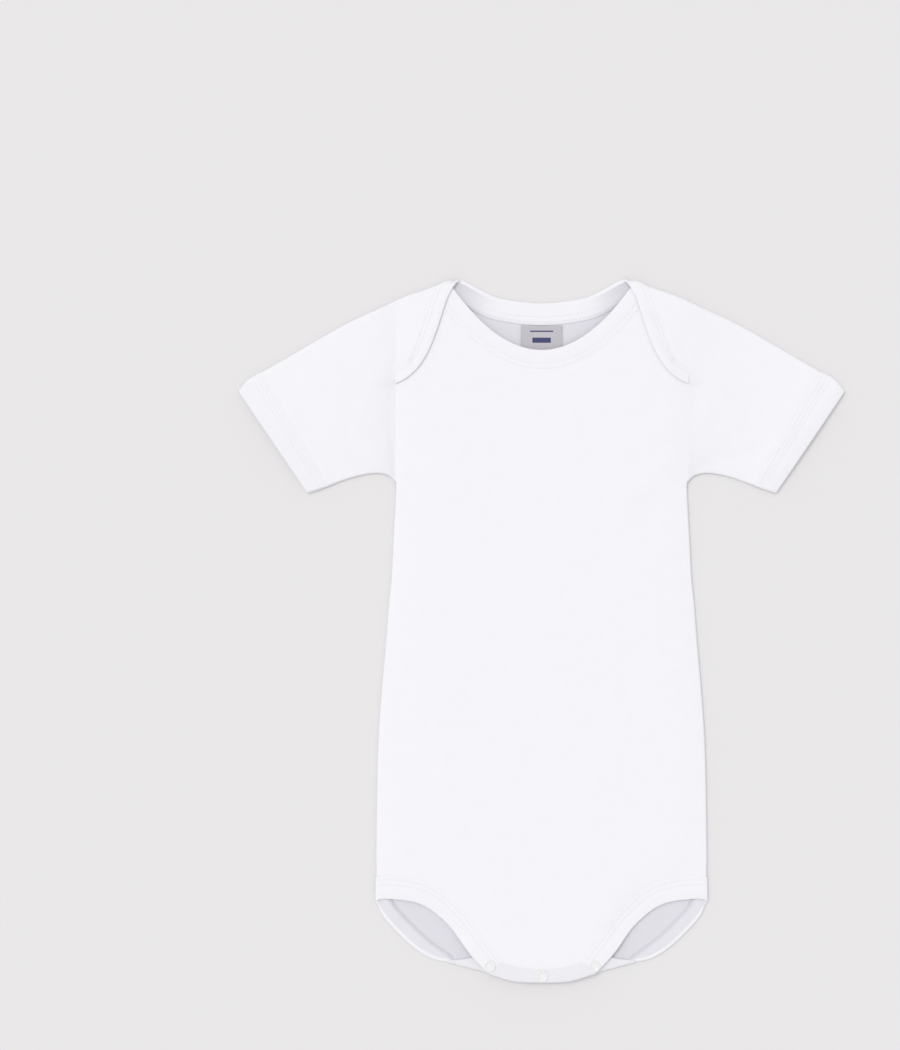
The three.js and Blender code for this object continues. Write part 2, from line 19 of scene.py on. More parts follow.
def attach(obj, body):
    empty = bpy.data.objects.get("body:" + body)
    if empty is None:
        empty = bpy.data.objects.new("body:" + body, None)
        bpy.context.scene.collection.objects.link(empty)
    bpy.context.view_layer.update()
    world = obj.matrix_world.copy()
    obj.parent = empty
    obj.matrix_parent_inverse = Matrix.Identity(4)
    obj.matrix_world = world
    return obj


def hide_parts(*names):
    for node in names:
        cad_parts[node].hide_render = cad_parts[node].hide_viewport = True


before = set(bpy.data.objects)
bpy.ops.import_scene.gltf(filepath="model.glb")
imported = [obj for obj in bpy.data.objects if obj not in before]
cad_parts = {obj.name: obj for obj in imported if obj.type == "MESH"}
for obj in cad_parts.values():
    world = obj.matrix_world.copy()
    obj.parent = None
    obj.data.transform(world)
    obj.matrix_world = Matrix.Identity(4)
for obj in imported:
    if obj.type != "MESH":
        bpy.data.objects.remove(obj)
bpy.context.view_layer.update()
MM = 0.001
random.seed(7)

# %% [markdown]
# The camera comes first. The photograph looks straight down, so the camera does too, from far
# enough that the cloth has no perspective to speak of. One pixel of the photograph is 0.65 mm.
# The garment isn't in the middle of the picture, so the camera stands off to one side of it.

# %% Camera
MM_PER_PIXEL = 0.65
PHOTO_WIDTH, PHOTO_HEIGHT = 900, 1050
AXIS_PIXEL, MIDDLE_PIXEL = 541.5, 631.3
LENS, SENSOR = 100, 36


def make_camera():
    data = bpy.data.cameras.new("camera")
    data.sensor_fit = "VERTICAL"
    data.sensor_height = SENSOR
    data.sensor_width = SENSOR * PHOTO_WIDTH / PHOTO_HEIGHT
    data.lens = LENS
    camera = bpy.data.objects.new("camera", data)
    bpy.context.scene.collection.objects.link(camera)
    height = PHOTO_HEIGHT * MM_PER_PIXEL * LENS / SENSOR
    across = (PHOTO_WIDTH / 2 - AXIS_PIXEL) * MM_PER_PIXEL
    along = (MIDDLE_PIXEL - PHOTO_HEIGHT / 2) * MM_PER_PIXEL
    camera.location = Vector((across, along, height)) * MM
    bpy.context.scene.camera = camera
    print("camera at", [round(v, 3) for v in camera.location])


make_camera()

# %% [markdown]
# Smooth numbers are needed all over: a soft step from 0 to 1, and a smooth curve through the
# few rows of a table. The curve is cubic between rows and straight beyond them.

# %% Soft steps and table curves


def mix(start, end, share):
    return start + (end - start) * share


def ease(start, end, value):
    share = min(1, max(0, (value - start) / (end - start)))
    return share * share * (3 - 2 * share)


def table_curve(rows):
    rows = sorted(rows)

    def slope_at(index):
        before, after = rows[max(0, index - 1)], rows[min(len(rows) - 1, index + 1)]
        return (after[1] - before[1]) / (after[0] - before[0])

    def curve(value):
        if value < rows[0][0]:
            return rows[0][1] + slope_at(0) * (value - rows[0][0])
        if value >= rows[-1][0]:
            return rows[-1][1] + slope_at(len(rows) - 1) * (value - rows[-1][0])
        after = next(index for index, row in enumerate(rows) if row[0] > value)
        (start, low), (end, high) = rows[after - 1], rows[after]
        span = end - start
        t = (value - start) / span
        pull = t * (1 - t) * (1 - t) * slope_at(after - 1) - t * t * (1 - t) * slope_at(after)
        return mix(low, high, t * t * (3 - 2 * t)) + pull * span

    return curve


print("a soft step, a quarter of the way:", round(ease(0, 4, 1), 3))

# %% [markdown]
# These are the garment's own sizes, in millimetres, as the construction has them: x across
# from the middle, y from the crotch up to the neck. Every later cell works in millimetres too,
# and a point is only turned into metres when it goes into a mesh.

# %% Sizes of the body
# thickness of the jersey and of a folded band, and the air between two layers
WALL = 1.2
BINDING = 1.6
SEAM = 0.3
LAYER = WALL + SEAM
BINDING_STEP = BINDING - WALL
# how far the front stands off the back in the middle
PUFF = 1.8
# height of the turned-up back tab, and of the front tab's underside over it
CROTCH_FOLD_HEIGHT = LAYER + WALL
TAB_LIFT = CROTCH_FOLD_HEIGHT + 1.5
ARMHOLE_X = 94.5
HIP_X = 107.9
SIDE_TOP = 91
print("one layer:", LAYER, "mm, the crotch's fold:", CROTCH_FOLD_HEIGHT, "mm high")

# %% [markdown]
# The outline of the body, the line where the shoulders fold and the curves of the crotch and
# the leg openings are freehand curves, as a cutter would draw them. A formula for each would be
# hard to adjust, so each is a short table of places that the photograph shows, and a smooth
# curve through them.

# %% Outlines of the body
# y, half width
side_outline = table_curve([
    (91, ARMHOLE_X), (60, 96.2), (33, 97.6), (20, 99), (-6, 101), (-32, 103.3),
    (-71, 106), (-110, 107), (-149, 107.5), (-158, HIP_X), (-230, HIP_X),
])
# x, y
shoulder_fold = table_curve([
    (45, 232), (49.5, 228.8), (53, 226), (57, 225.7), (60, 225.2), (63.8, 224.4), (68.3, 222.2),
    (75.3, 219.5), (85.3, 216.3), (ARMHOLE_X, 212.9),
])
crotch_outline = table_curve([
    (-10, -227.5), (0, -227.7), (17.5, -226.9), (35.1, -221.9), (50, -218), (61, -215),
])
leg_opening = table_curve([(46.2, -209.6), (61.1, -190), (77.4, -177.6), (95, -174)])


def half_width(y):
    return ARMHOLE_X if y > SIDE_TOP else min(HIP_X, side_outline(y))


def inside_body(x, y):
    return max(0, 1 - abs(x / half_width(y)) ** 8)


def near_leg(x, y):
    """1 at the edge of a leg opening, and 0 a few centimetres above it."""
    return (1 - ease(6, 34, y - leg_opening(abs(x)))) * ease(36, 48, abs(x))


print("across the chest:", 2 * half_width(60), "mm, across the hips:", 2 * HIP_X, "mm")

# %% [markdown]
# Cotton that has been smoothed by hand still keeps a few soft creases: at the underarms, where
# the sleeve pulls on the body, beside the flaps, and above the snaps. Each is listed as a shallow
# trough or ridge along a line, wide and low, and no two are alike. The back has its own, which
# can only be ridges, because it lies on the table.

# %% Creases
# x and y of one end, x and y of the other, half width, height (below 0 for a trough)
CREASES = [
    (88, 112, 52, 84, 8, 0.75), (90, 96, 40, 48, 11, -0.6), (93, 132, 64, 128, 7, 0.5),
    (-89, 108, -58, 92, 8, 0.7), (-91, 90, -46, 34, 12, -0.65), (-92, 126, -70, 134, 6, 0.45),
    (26, 150, 10, 96, 14, 0.45), (-30, 146, -22, 60, 17, -0.45), (-4, 20, 18, -58, 18, 0.5),
    (60, -20, 72, -104, 15, -0.5), (-66, -34, -60, -120, 14, 0.55), (34, -96, 22, -164, 12, 0.45),
    (-24, -196, -38, -158, 7, 0.45), (4, -206, 2, -168, 8, -0.4), (27, -198, 44, -166, 7, 0.5),
    (84, -150, 56, -128, 9, 0.4), (-86, -148, -64, -112, 10, -0.4),
    (-14, -120, -30, -60, 16, 0.4), (78, 150, 60, 132, 8, -0.4), (-79, 152, -56, 136, 8, -0.35),
    (50, 118, 66, 40, 13, 0.4),
]
BACK_CREASES = [
    (84, 104, 50, 66, 9, 0.8), (-86, 98, -44, 58, 11, 0.7), (30, 128, 12, 70, 13, 0.6),
    (-34, 118, -20, 44, 12, 0.7), (62, 10, 70, -70, 12, 0.75), (-58, -10, -66, -96, 14, 0.65),
    (8, -30, 26, -104, 15, 0.6), (-20, -74, -34, -136, 11, 0.7), (48, -100, 40, -146, 9, 0.5),
]


def crease_height(creases, x, y):
    total = 0
    for x0, y0, x1, y1, half, height in creases:
        way = Vector((x1 - x0, y1 - y0))
        share = max(0, min(1, Vector((x - x0, y - y0)).dot(way) / way.length_squared))
        spot = Vector((x0, y0)) + way * share
        distance = math.hypot(x - spot.x, y - spot.y)
        if distance < 3 * half:
            total += height * math.exp(-(distance / half) ** 2) * (1 - 0.5 * share)
    return total


print("creases:", len(CREASES), "on the front,", len(BACK_CREASES), "on the back")

# %% [markdown]
# The layers lie on each other. The back is on the table, the front stands on it with a little
# air between, and the flaps lie on the front. Near the side seams and the armholes the layers
# come together. These functions give the height of the underside of each layer.

# %% Heights of the layers


def front_lift(x, y):
    inside = inside_body(x, y)
    binding_room = BINDING_STEP * max(inside, ease(-140, -158, y))
    below_fold = ease(0, 30, shoulder_fold(abs(x)) - y)
    puff = (PUFF + crease_height(CREASES, x, y)) * inside * below_fold
    puff *= 1 - 0.9 * near_leg(x, y)
    return mix(LAYER + binding_room + puff, TAB_LIFT, ease(-190, -206, y))


def back_lift(x, y):
    """The back lies on the table, apart from its creases, which stay clear of its edges."""
    clear = inside_body(x, y) ** 2 * ease(-170, -130, y) * (1 - ease(150, 190, y))
    return crease_height(BACK_CREASES, x, y) * clear


def flap_lift(x, y):
    return front_lift(x, y) + LAYER + BINDING_STEP * inside_body(x, y)


def roll_height(x):
    return flap_lift(x, shoulder_fold(abs(x))) + WALL


def roll_length(x):
    """How much cloth goes round the shoulder fold, along the middle of its thickness."""
    return math.pi * (roll_height(x) - WALL) / 2


print("the front's underside is", round(front_lift(0, 0), 2), "mm up in the middle,")
print("and the shoulder's roll is", round(roll_height(70), 2), "mm high")

# %% [markdown]
# A piece of cloth is worked out flat, as it was cut, and then laid: each of its points is moved
# to where that point of the cloth lies. The front is simply lifted. The back runs flat up to
# the shoulder fold, rolls over it, and comes down on the front. depth is measured inwards from
# the cloth's outer face, so the two faces of a strip use the same function.

# %% Laying the cloth


def lay_front(x, y, depth, thickness):
    return Vector((x, y, front_lift(x, y) + thickness - depth))


def lay_back(x, cut, depth, thickness):
    fold = shoulder_fold(abs(x))
    past = cut - fold
    if past <= 0:
        return Vector((x, cut, depth + back_lift(x, cut)))
    roll = roll_length(x)
    if past < roll:
        angle = math.pi * past / roll
        radius = (roll_height(x) + thickness - WALL) / 2
        reach = radius - depth
        return Vector((x, fold + reach * math.sin(angle), radius - reach * math.cos(angle)))
    y = fold - (past - roll)
    return Vector((x, y, flap_lift(x, y) + thickness - depth))


def cut_of_flap(x, y):
    """Where a point that lies on the flap is on the flat cut."""
    return 2 * shoulder_fold(x) + roll_length(x) - y


print("a flap's point at y 180 was cut at y", round(cut_of_flap(75, 180), 1))

# %% [markdown]
# The edges of the neck and the legs are curves through a few points. A centripetal Catmull-Rom
# spline passes through all of its points without overshooting, even where they are close
# together on one side and far apart on the other.

# %% A curve through points


def spline_point(points, t):
    last = len(points) - 1
    index = min(int(t * last), last - 1)
    share = t * last - index
    p1, p2 = points[index], points[index + 1]
    p0 = points[index - 1] if index else 2 * points[0] - points[1]
    p3 = points[index + 2] if index + 2 <= last else 2 * points[last] - points[last - 1]
    d0, d1, d2 = (math.sqrt((b - a).length) for a, b in ((p0, p1), (p1, p2), (p2, p3)))
    start = ((p1 - p0) / d0 - (p2 - p0) / (d0 + d1) + (p2 - p1) / d1) * d1
    end = ((p2 - p1) / d1 - (p3 - p1) / (d1 + d2) + (p3 - p2) / d2) * d1
    s2, s3 = share * share, share ** 3
    return (
        p1 * (2 * s3 - 3 * s2 + 1) + start * (s3 - 2 * s2 + share)
        + p2 * (3 * s2 - 2 * s3) + end * (s3 - s2)
    )


def line_at(points, x):
    """The height of a line of points at one place across. It is straight beyond its ends."""
    after = next((i for i, point in enumerate(points) if point.x > x), len(points) - 1)
    a, b = points[max(1, after) - 1], points[max(1, after)]
    return mix(a.y, b.y, (x - a.x) / (b.x - a.x))


corner = [Vector((0, 0)), Vector((10, 0)), Vector((10, 10))]
print("a curve's middle, at a corner:", [round(v, 2) for v in spline_point(corner, 0.5)])

# %% [markdown]
# A binding follows an edge curve. Its stations are the places along the curve, each with the
# direction into the cloth and the width of the strip there. They lie closer together where the
# edge turns sharply, as at the neck's peaks, so the strip stays round there.

# %% Stations along an edge


def station_shares(steps):
    """Where the stations are along the spline: steps says how many each stretch has."""
    count = len(steps)
    shares = [(index + k / n) / count for index, n in enumerate(steps) for k in range(n)]
    return shares + [1]


def edge_stations(points, steps, width, cloth_side):
    points = [Vector(point) for point in points]
    stations = []
    for t in station_shares(steps):
        step = 1e-4
        way = spline_point(points, min(1, t + step)) - spline_point(points, max(0, t - step))
        way.normalize()
        inward = Vector((-way.y, way.x)) * cloth_side
        stations.append({"edge": spline_point(points, t), "inward": inward, "width": width})
    return stations


def station_point(station, distance):
    return station["edge"] + station["inward"] * distance


print("stations of a curve with 2 and 3 steps:", [round(v, 2) for v in station_shares([2, 3])])

# %% [markdown]
# The neck has two edges. The front one is a scoop that ends under the flaps. The back one is a
# shallow curve that runs on over both shoulders and down the flaps, so one strip binds it all.
# Only the right half of each is given, and both_sides adds the left.

# %% Points of the neck
NECK_WIDTH = 14.4
# the lowest point, how fast the scoop rises, and how far out it goes
FRONT_NECK_LOWEST, FRONT_NECK_RISE, FRONT_NECK_HALF = 182.7, 0.0122, 57.5
BACK_NECK_LOWEST, BACK_NECK_RISE, BACK_NECK_HALF = 213.2, 0.0044, 30
BESIDE_PEAK = [(37, 220.4), (44.7, 224.6), (49.5, 227.2)]
PEAK_X = 53
# x and y of the flap's edge as it lies, from the peak down to the armhole
FLAP_EDGE = [
    (57.6, 223), (61, 216.6), (64, 208), (69.2, 192.4), (74.4, 180.2), (81, 170.4), (87.4, 164.6),
    (94.9, 160.6),
]
FLAP_TIP_WIDTH = 12
# stations between one point of the back neck's right half and the next
BACK_NECK_STEPS = [5, 5, 5, 5, 5, 5, 4, 8, 10, 8, 6, 7, 7, 6, 4, 4]


def both_sides(points):
    return [(-x, y) for x, y in reversed(points[1:])] + list(points)


def neck_points(lowest, rise, half, count):
    across = [half * index / count for index in range(count + 1)]
    return [(x, lowest + rise * x * x) for x in across]


front_scoop = both_sides(neck_points(FRONT_NECK_LOWEST, FRONT_NECK_RISE, FRONT_NECK_HALF, 9))
print("the front neck falls by", round(front_scoop[0][1] - FRONT_NECK_LOWEST, 1), "mm")

# %% [markdown]
# Seen flat, a flap's edge lies beyond the fold, which is what cut_of_flap works out. Towards
# the flap's tip the strip grows narrower, and its stations turn to point straight down, because
# on the inside of such a tight curve they would otherwise cross.

# %% Stations of the neck


def back_neck_stations():
    peak = (PEAK_X, shoulder_fold(PEAK_X) + roll_length(PEAK_X) / 2)
    flap = [(x, cut_of_flap(x, y)) for x, y in FLAP_EDGE]
    neck = neck_points(BACK_NECK_LOWEST, BACK_NECK_RISE, BACK_NECK_HALF, 4) + BESIDE_PEAK
    points = both_sides(neck + [peak] + flap)
    steps = BACK_NECK_STEPS[::-1] + BACK_NECK_STEPS
    stations = edge_stations(points, steps, NECK_WIDTH, -1)
    for station in stations:
        across = abs(station["edge"].x)
        down = Vector((math.copysign(0.05, station["edge"].x), -1))
        station["width"] = mix(NECK_WIDTH, FLAP_TIP_WIDTH, ease(66, 80, across))
        station["inward"] = station["inward"].lerp(down, ease(80, 92, across)).normalized()
    return stations


FRONT_NECK = edge_stations(front_scoop, [5] * (len(front_scoop) - 1), NECK_WIDTH, -1)
BACK_NECK = back_neck_stations()
front_neck_seam = [station_point(station, station["width"]) for station in FRONT_NECK]
back_neck_seam = [station_point(station, station["width"]) for station in BACK_NECK]
print("stations at the neck:", len(FRONT_NECK), "front,", len(BACK_NECK), "back")

# %% [markdown]
# A leg's binding starts at the snaps, follows the front leg edge out to the hip, turns round
# the hip, and comes back along the back panel. On the flat strip that is one line, so the rows
# of the back are written as they lie, and unrolled here: past the hip fold x goes on growing.
# Its width changes along the way, so the seam is a second curve, and each station looks from
# the finished edge to the seam.

# %% Leg edges
# x and y of the finished edge, x and y of the seam, stations to the next row
FRONT_LEG = [
    ((35.4, -221.4), (26, -214.1), 7), ((46.2, -209.6), (36.4, -200.4), 10),
    ((61.1, -190), (51.8, -181), 10), ((77.4, -177.6), (71.2, -164.6), 9),
    ((95, -174), (93, -159.2), 6),
]
BACK_LEG = [
    ((103.6, -184.2), (95.8, -176.4), 7), ((94.9, -194.4), (86.8, -186.4), 8),
    ((81, -207), (73.8, -198.9), 6), ((70, -213), (65, -205.6), 5),
    ((61, -214.8), (58.6, -210), 2), ((58.6, -215.2), (57, -211.1), 1),
]
# the strip's thickness at its last stations, where it runs out into the back tab
LEG_END_THICKNESS = (1.22, 1.3, 1.45)
LEG_ROLL_RADIUS = (LAYER + BINDING_STEP + BINDING) / 2
LEG_FOLD_X = HIP_X - LEG_ROLL_RADIUS
LEG_ROLL = math.pi * (LEG_ROLL_RADIUS - BINDING / 2)


def leg_stations():
    hip = [
        ((LEG_FOLD_X, -174.4), (LEG_FOLD_X, -159.2), 8),
        ((LEG_FOLD_X + LEG_ROLL, -178.4), (LEG_FOLD_X + LEG_ROLL, -161), 8),
    ]
    unroll = 2 * LEG_FOLD_X + LEG_ROLL
    back = [((unroll - e[0], e[1]), (unroll - s[0], s[1]), steps) for e, s, steps in BACK_LEG]
    rows = FRONT_LEG + hip + back
    edge = [Vector(row[0]) for row in rows]
    seam = [Vector(row[1]) for row in rows]
    stations = []
    for t in station_shares([row[2] for row in rows[:-1]]):
        start = spline_point(edge, t)
        inward = spline_point(seam, t) - start
        stations.append({"edge": start, "inward": inward.normalized(), "width": inward.length})
    for station, thickness in zip(reversed(stations), LEG_END_THICKNESS):
        station["thickness"] = thickness
    return stations


LEG = leg_stations()
print("stations round a leg:", len(LEG))

# %% [markdown]
# lay_leg lays that strip: on the front panel it is lifted like the front, at the hip it turns
# over in a half circle, and past the turn it lies on the table, under the front.

# %% Laying a leg band


def lay_leg(x, y, depth, thickness):
    if x <= LEG_FOLD_X:
        return lay_front(x, y, depth, thickness)
    if x >= LEG_FOLD_X + LEG_ROLL:
        return Vector((2 * LEG_FOLD_X + LEG_ROLL - x, y, depth))
    share = (x - LEG_FOLD_X) / LEG_ROLL
    reach = LEG_ROLL_RADIUS - depth
    settle = (front_lift(LEG_FOLD_X, y) + thickness - 2 * LEG_ROLL_RADIUS) * (1 - share)
    z = LEG_ROLL_RADIUS + reach * math.cos(math.pi * share) + settle
    return Vector((LEG_FOLD_X + reach * math.sin(math.pi * share), y, z))


leg_seam = [station_point(station, station["width"]) for station in LEG]
front_leg_seam = [point for point in leg_seam if point.x <= LEG_FOLD_X + 0.01]
back_leg_seam = [
    Vector((2 * LEG_FOLD_X + LEG_ROLL - point.x, point.y))
    for point in reversed(leg_seam) if point.x >= LEG_FOLD_X + LEG_ROLL - 0.01
]
print("points of the leg seam:", len(front_leg_seam), "front,", len(back_leg_seam), "back")

# %% [markdown]
# Each piece of cloth starts as Blender's own flat grid. place tells where every point of the
# grid lies on the flat cut and where it lies in space, and the flat place is kept as a UV map
# in metres. The knit follows that map, so it bends and turns with the cloth as real knit does,
# and the same map measures how much cloth was cut.
#
# Cloth shades softly over its whole face, but its cut edge is a hard line. So the edges on the
# rim of a piece are marked sharp. Without that the shading would bend round the rim, and leave
# a dark line along the seam.

# %% From a flat grid to laid cloth
CUT_MAP = "cut"


def rim_edges(shape):
    return [edge for edge in shape.edges if edge.is_boundary]


def sharpen_only(shape, edges):
    for edge in shape.edges:
        edge.smooth = True
    for edge in edges:
        edge.smooth = False


def laid_grid(columns, rows, place, inner_rows=0):
    """The faces of the first inner_rows rows take a piece's second material. When there are
    any, the last two rows do too: they close the same skin."""
    grid = bmesh.new()
    bmesh.ops.create_grid(grid, x_segments=columns, y_segments=rows, size=0.5)
    sharpen_only(grid, rim_edges(grid))
    for face in grid.faces:
        row = (face.calc_center_median().y + 0.5) * rows
        face.material_index = int(row < inner_rows or inner_rows > 0 and row > rows - 2)
    cut_layer = grid.loops.layers.uv.new(CUT_MAP)
    cut = {}
    for vert in grid.verts:
        column = round((vert.co.x + 0.5) * columns)
        row = round((vert.co.y + 0.5) * rows)
        cut[vert], spot = place(column, row)
        vert.co = spot * MM
    for face in grid.faces:
        for loop in face.loops:
            loop[cut_layer].uv = Vector(cut[loop.vert]) * MM
    return grid


swatch = laid_grid(3, 2, lambda column, row: ((column, row), Vector((column, row, 0))))
print("a swatch of 3 by 2:", len(swatch.faces), "faces,", len(rim_edges(swatch)), "rim edges")
swatch.free()

# %% [markdown]
# A finished shape becomes an object that rides on the garment's one body and stands for its
# solids. Its mesh is already in place, so the object itself stays at the origin. The cloth gets
# its thickness from a Solidify modifier that grows inwards from the outer face, and the faces
# that it adds inside the garment take the darker inside finish, which is painted shade.

# %% From a shape to a piece


def make_piece(name, shape, material, nodes=()):
    mesh = bpy.data.meshes.new(name)
    shape.to_mesh(mesh)
    shape.free()
    mesh.shade_smooth()
    mesh.materials.append(material)
    piece = bpy.data.objects.new(name, mesh)
    bpy.context.scene.collection.objects.link(piece)
    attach(piece, "root")
    if nodes:
        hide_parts(*nodes)
    print(name, "has", len(mesh.polygons), "faces before its modifiers")
    return piece


def add_wall(piece, wall, inside=None):
    solid = piece.modifiers.new("wall", "SOLIDIFY")
    solid.thickness = wall * MM
    solid.offset = -1
    if inside:
        piece.data.materials.append(inside)
        solid.material_offset = 1


# %% [markdown]
# Whoever drapes the garment anew needs to know how much cloth there is. The cut map has it in
# metres: its two sides are the flat size, and the area of its faces is the area that was cut.

# %% The flat size of a piece


def declare_cloth(piece, layers=1):
    """The flat cut is measured on the UV map. A closed strip shows both of its faces there."""
    mesh = piece.data
    spots = [spot.uv for spot in mesh.uv_layers[CUT_MAP].data]
    area = 0
    for face in mesh.polygons:
        ring = [spots[index] for index in face.loop_indices]
        area += abs(sum(a.cross(b) for a, b in zip(ring, ring[1:] + ring[:1]))) / 2
    area = area / layers


# %% [markdown]
# A finish is a small tree of nodes. These helpers add what every finish here has: its shader,
# a sum, and a colour mixed from two others. A value that is another node's socket is linked,
# and a plain one is set. Values that are the same all over go on the shader's own sockets.

# %% Shader, sums and colours


def new_finish(name, roughness, sheen=0):
    material = bpy.data.materials.new(name)
    material.use_nodes = True
    tree = material.node_tree
    shader = tree.nodes["Principled BSDF"]
    shader.inputs["Roughness"].default_value = roughness
    shader.inputs["Sheen Weight"].default_value = sheen
    return material, tree, shader


def node_value(tree, operation, *values):
    node = tree.nodes.new("ShaderNodeMath")
    node.operation = operation
    for socket, value in zip(node.inputs, values):
        if isinstance(value, bpy.types.NodeSocket):
            tree.links.new(value, socket)
        else:
            socket.default_value = value
    return node.outputs[0]


def mixed_colour(tree, share, first, second):
    """The first colour where share is 0, and the second where it is 1."""
    node = tree.nodes.new("ShaderNodeMix")
    node.data_type = "RGBA"
    for socket, value in (("A", first), ("B", second)):
        if isinstance(value, bpy.types.NodeSocket):
            tree.links.new(value, node.inputs[socket])
        else:
            node.inputs[socket].default_value = (*value, 1)
    tree.links.new(share, node.inputs["Factor"])
    return node.outputs["Result"]


# %% [markdown]
# A relief too fine to be modelled is a bump, which turns the shader's normal. Patterns in cloth
# have to follow the cloth, so they read the cut map, of which X is along the courses of the
# knit and Y along its wales.

# %% Relief and the cut map


def add_relief(tree, height, strength, depth):
    """depth is in millimetres."""
    bump = tree.nodes.new("ShaderNodeBump")
    bump.inputs["Strength"].default_value = strength
    bump.inputs["Distance"].default_value = depth * MM
    tree.links.new(height, bump.inputs["Height"])
    tree.links.new(bump.outputs["Normal"], tree.nodes["Principled BSDF"].inputs["Normal"])


def cut_map_of(tree):
    cut = tree.nodes.new("ShaderNodeUVMap")
    cut.uv_map = CUT_MAP
    return cut.outputs["UV"]


def split_axes(tree, vector):
    split = tree.nodes.new("ShaderNodeSeparateXYZ")
    tree.links.new(vector, split.inputs[0])
    return split.outputs


# %% [markdown]
# Close up, jersey is columns of small V shapes, called wales. One node group draws a wale's
# two slanting legs from the cut map, and puts out their height for a bump and a soft shade for
# the grooves. The body, the ribbed bands and the thread use it with their own sizes. A noise
# far finer than a stitch is the cotton's fuzz, and a coarse one makes the cloth's tone uneven.

# %% The knit as a node group
WALE_SLANT = 0.7
LOOP_DEPTH = 0.22
FUZZ_SCALE, FUZZ_SHARE = 2600, 0.35
MOTTLE_SCALE = 110


def make_knit_group():
    tree = bpy.data.node_groups.new("knit", "ShaderNodeTree")
    face = tree.interface
    face.new_socket("Cloth", in_out="INPUT", socket_type="NodeSocketVector")
    face.new_socket("Wale", in_out="INPUT", socket_type="NodeSocketFloat")
    face.new_socket("Course", in_out="INPUT", socket_type="NodeSocketFloat")
    face.new_socket("Height", in_out="OUTPUT", socket_type="NodeSocketFloat")
    face.new_socket("Groove shade", in_out="OUTPUT", socket_type="NodeSocketFloat")
    face.new_socket("Mottle", in_out="OUTPUT", socket_type="NodeSocketFloat")
    given = tree.nodes.new("NodeGroupInput").outputs
    result = tree.nodes.new("NodeGroupOutput").inputs

    cloth = split_axes(tree, given["Cloth"])
    column = node_value(tree, "DIVIDE", cloth["X"], given["Wale"])
    row = node_value(tree, "DIVIDE", cloth["Y"], given["Course"])
    inside = node_value(tree, "SUBTRACT", node_value(tree, "FRACT", column), 0.5)
    from_middle = node_value(tree, "MULTIPLY", node_value(tree, "ABSOLUTE", inside), 2)
    leg = node_value(tree, "SINE", node_value(tree, "MULTIPLY", from_middle, math.pi))
    slanted = node_value(tree, "MULTIPLY_ADD", from_middle, WALE_SLANT, row)
    turn = node_value(tree, "MULTIPLY", slanted, 2 * math.pi)
    swell = node_value(tree, "COSINE", turn)
    loop = node_value(tree, "MULTIPLY_ADD", swell, LOOP_DEPTH, 1 - LOOP_DEPTH)
    fuzz = tree.nodes.new("ShaderNodeTexNoise")
    fuzz.inputs["Scale"].default_value = FUZZ_SCALE
    fuzz.inputs["Detail"].default_value = 2
    tree.links.new(given["Cloth"], fuzz.inputs["Vector"])
    yarn = node_value(tree, "MULTIPLY", leg, loop)
    height = node_value(tree, "MULTIPLY_ADD", fuzz.outputs["Fac"], FUZZ_SHARE, yarn)
    tree.links.new(height, result["Height"])
    tree.links.new(node_value(tree, "SUBTRACT", 1, yarn), result["Groove shade"])

    mottle = tree.nodes.new("ShaderNodeTexNoise")
    mottle.inputs["Scale"].default_value = MOTTLE_SCALE
    mottle.inputs["Detail"].default_value = 4
    tree.links.new(given["Cloth"], mottle.inputs["Vector"])
    tree.links.new(mottle.outputs["Fac"], result["Mottle"])
    return tree


KNIT = make_knit_group()
print("the knit group has", len(KNIT.nodes), "nodes")

# %% [markdown]
# White cotton isn't pure white: it is slightly bluish from its brightener. The finish mixes its
# light colour with a darker one by the group's masks. One mask is the mottle, which is the
# cloth's uneven tone. The other is the grooves of the knit, where the darker colour is painted
# shade. Cotton has no gloss, only a faint sheen from its fuzz, which is set on the shader itself.
# The faces of the cloth inside the garment get darker colours than its face: painted shade, for
# the layers that cover them.
#
# Deep in a collar or a leg opening the cloth looks darker still, because the layers shade each
# other. A few millimetres of air show too little of that. So a finish may have a shade, which
# darkens the cloth along one side of its cut map, and a band that needs it has its own finish.

# %% Cotton finishes
GROOVE_SHADE_SHARE, MOTTLE_SHARE = 0.45, 0.35
SHADE_COLOUR = (0.4, 0.375, 0.44)


def add_shade(tree, base, cut, shade):
    axis, middle, start, full, depth = shade
    away = node_value(tree, "SUBTRACT", split_axes(tree, cut)[axis], middle * MM)
    reach = tree.nodes.new("ShaderNodeMapRange")
    reach.interpolation_type = "SMOOTHSTEP"
    reach.inputs["From Min"].default_value = start * MM
    reach.inputs["From Max"].default_value = full * MM
    reach.inputs["To Max"].default_value = depth
    tree.links.new(node_value(tree, "ABSOLUTE", away), reach.inputs["Value"])
    return mixed_colour(tree, reach.outputs["Result"], base, SHADE_COLOUR)


def make_cotton(name, light, dark, wale, course, relief, shade=None):
    """wale, course and relief: width and length of a stitch and its height, in millimetres.
    shade: axis and middle on the cut map, how far from there it starts and is full, in
    millimetres, and its depth, of which 1 would be SHADE_COLOUR itself."""
    material, tree, shader = new_finish(name, 0.92, 0.12)
    shader.inputs["Sheen Roughness"].default_value = 0.6
    shader.inputs["Specular IOR Level"].default_value = 0.25
    cut = cut_map_of(tree)
    knit = tree.nodes.new("ShaderNodeGroup")
    knit.node_tree = KNIT
    knit.inputs["Wale"].default_value = wale * MM
    knit.inputs["Course"].default_value = course * MM
    tree.links.new(cut, knit.inputs["Cloth"])
    groove = node_value(tree, "MULTIPLY", knit.outputs["Groove shade"], GROOVE_SHADE_SHARE)
    mottle_and_groove_shade = node_value(tree, "MULTIPLY_ADD", knit.outputs["Mottle"], MOTTLE_SHARE, groove)
    base = mixed_colour(tree, mottle_and_groove_shade, light, dark)
    if shade:
        base = add_shade(tree, base, cut, shade)
    tree.links.new(base, shader.inputs["Base Color"])
    add_relief(tree, knit.outputs["Height"], 0.6, relief)
    return material
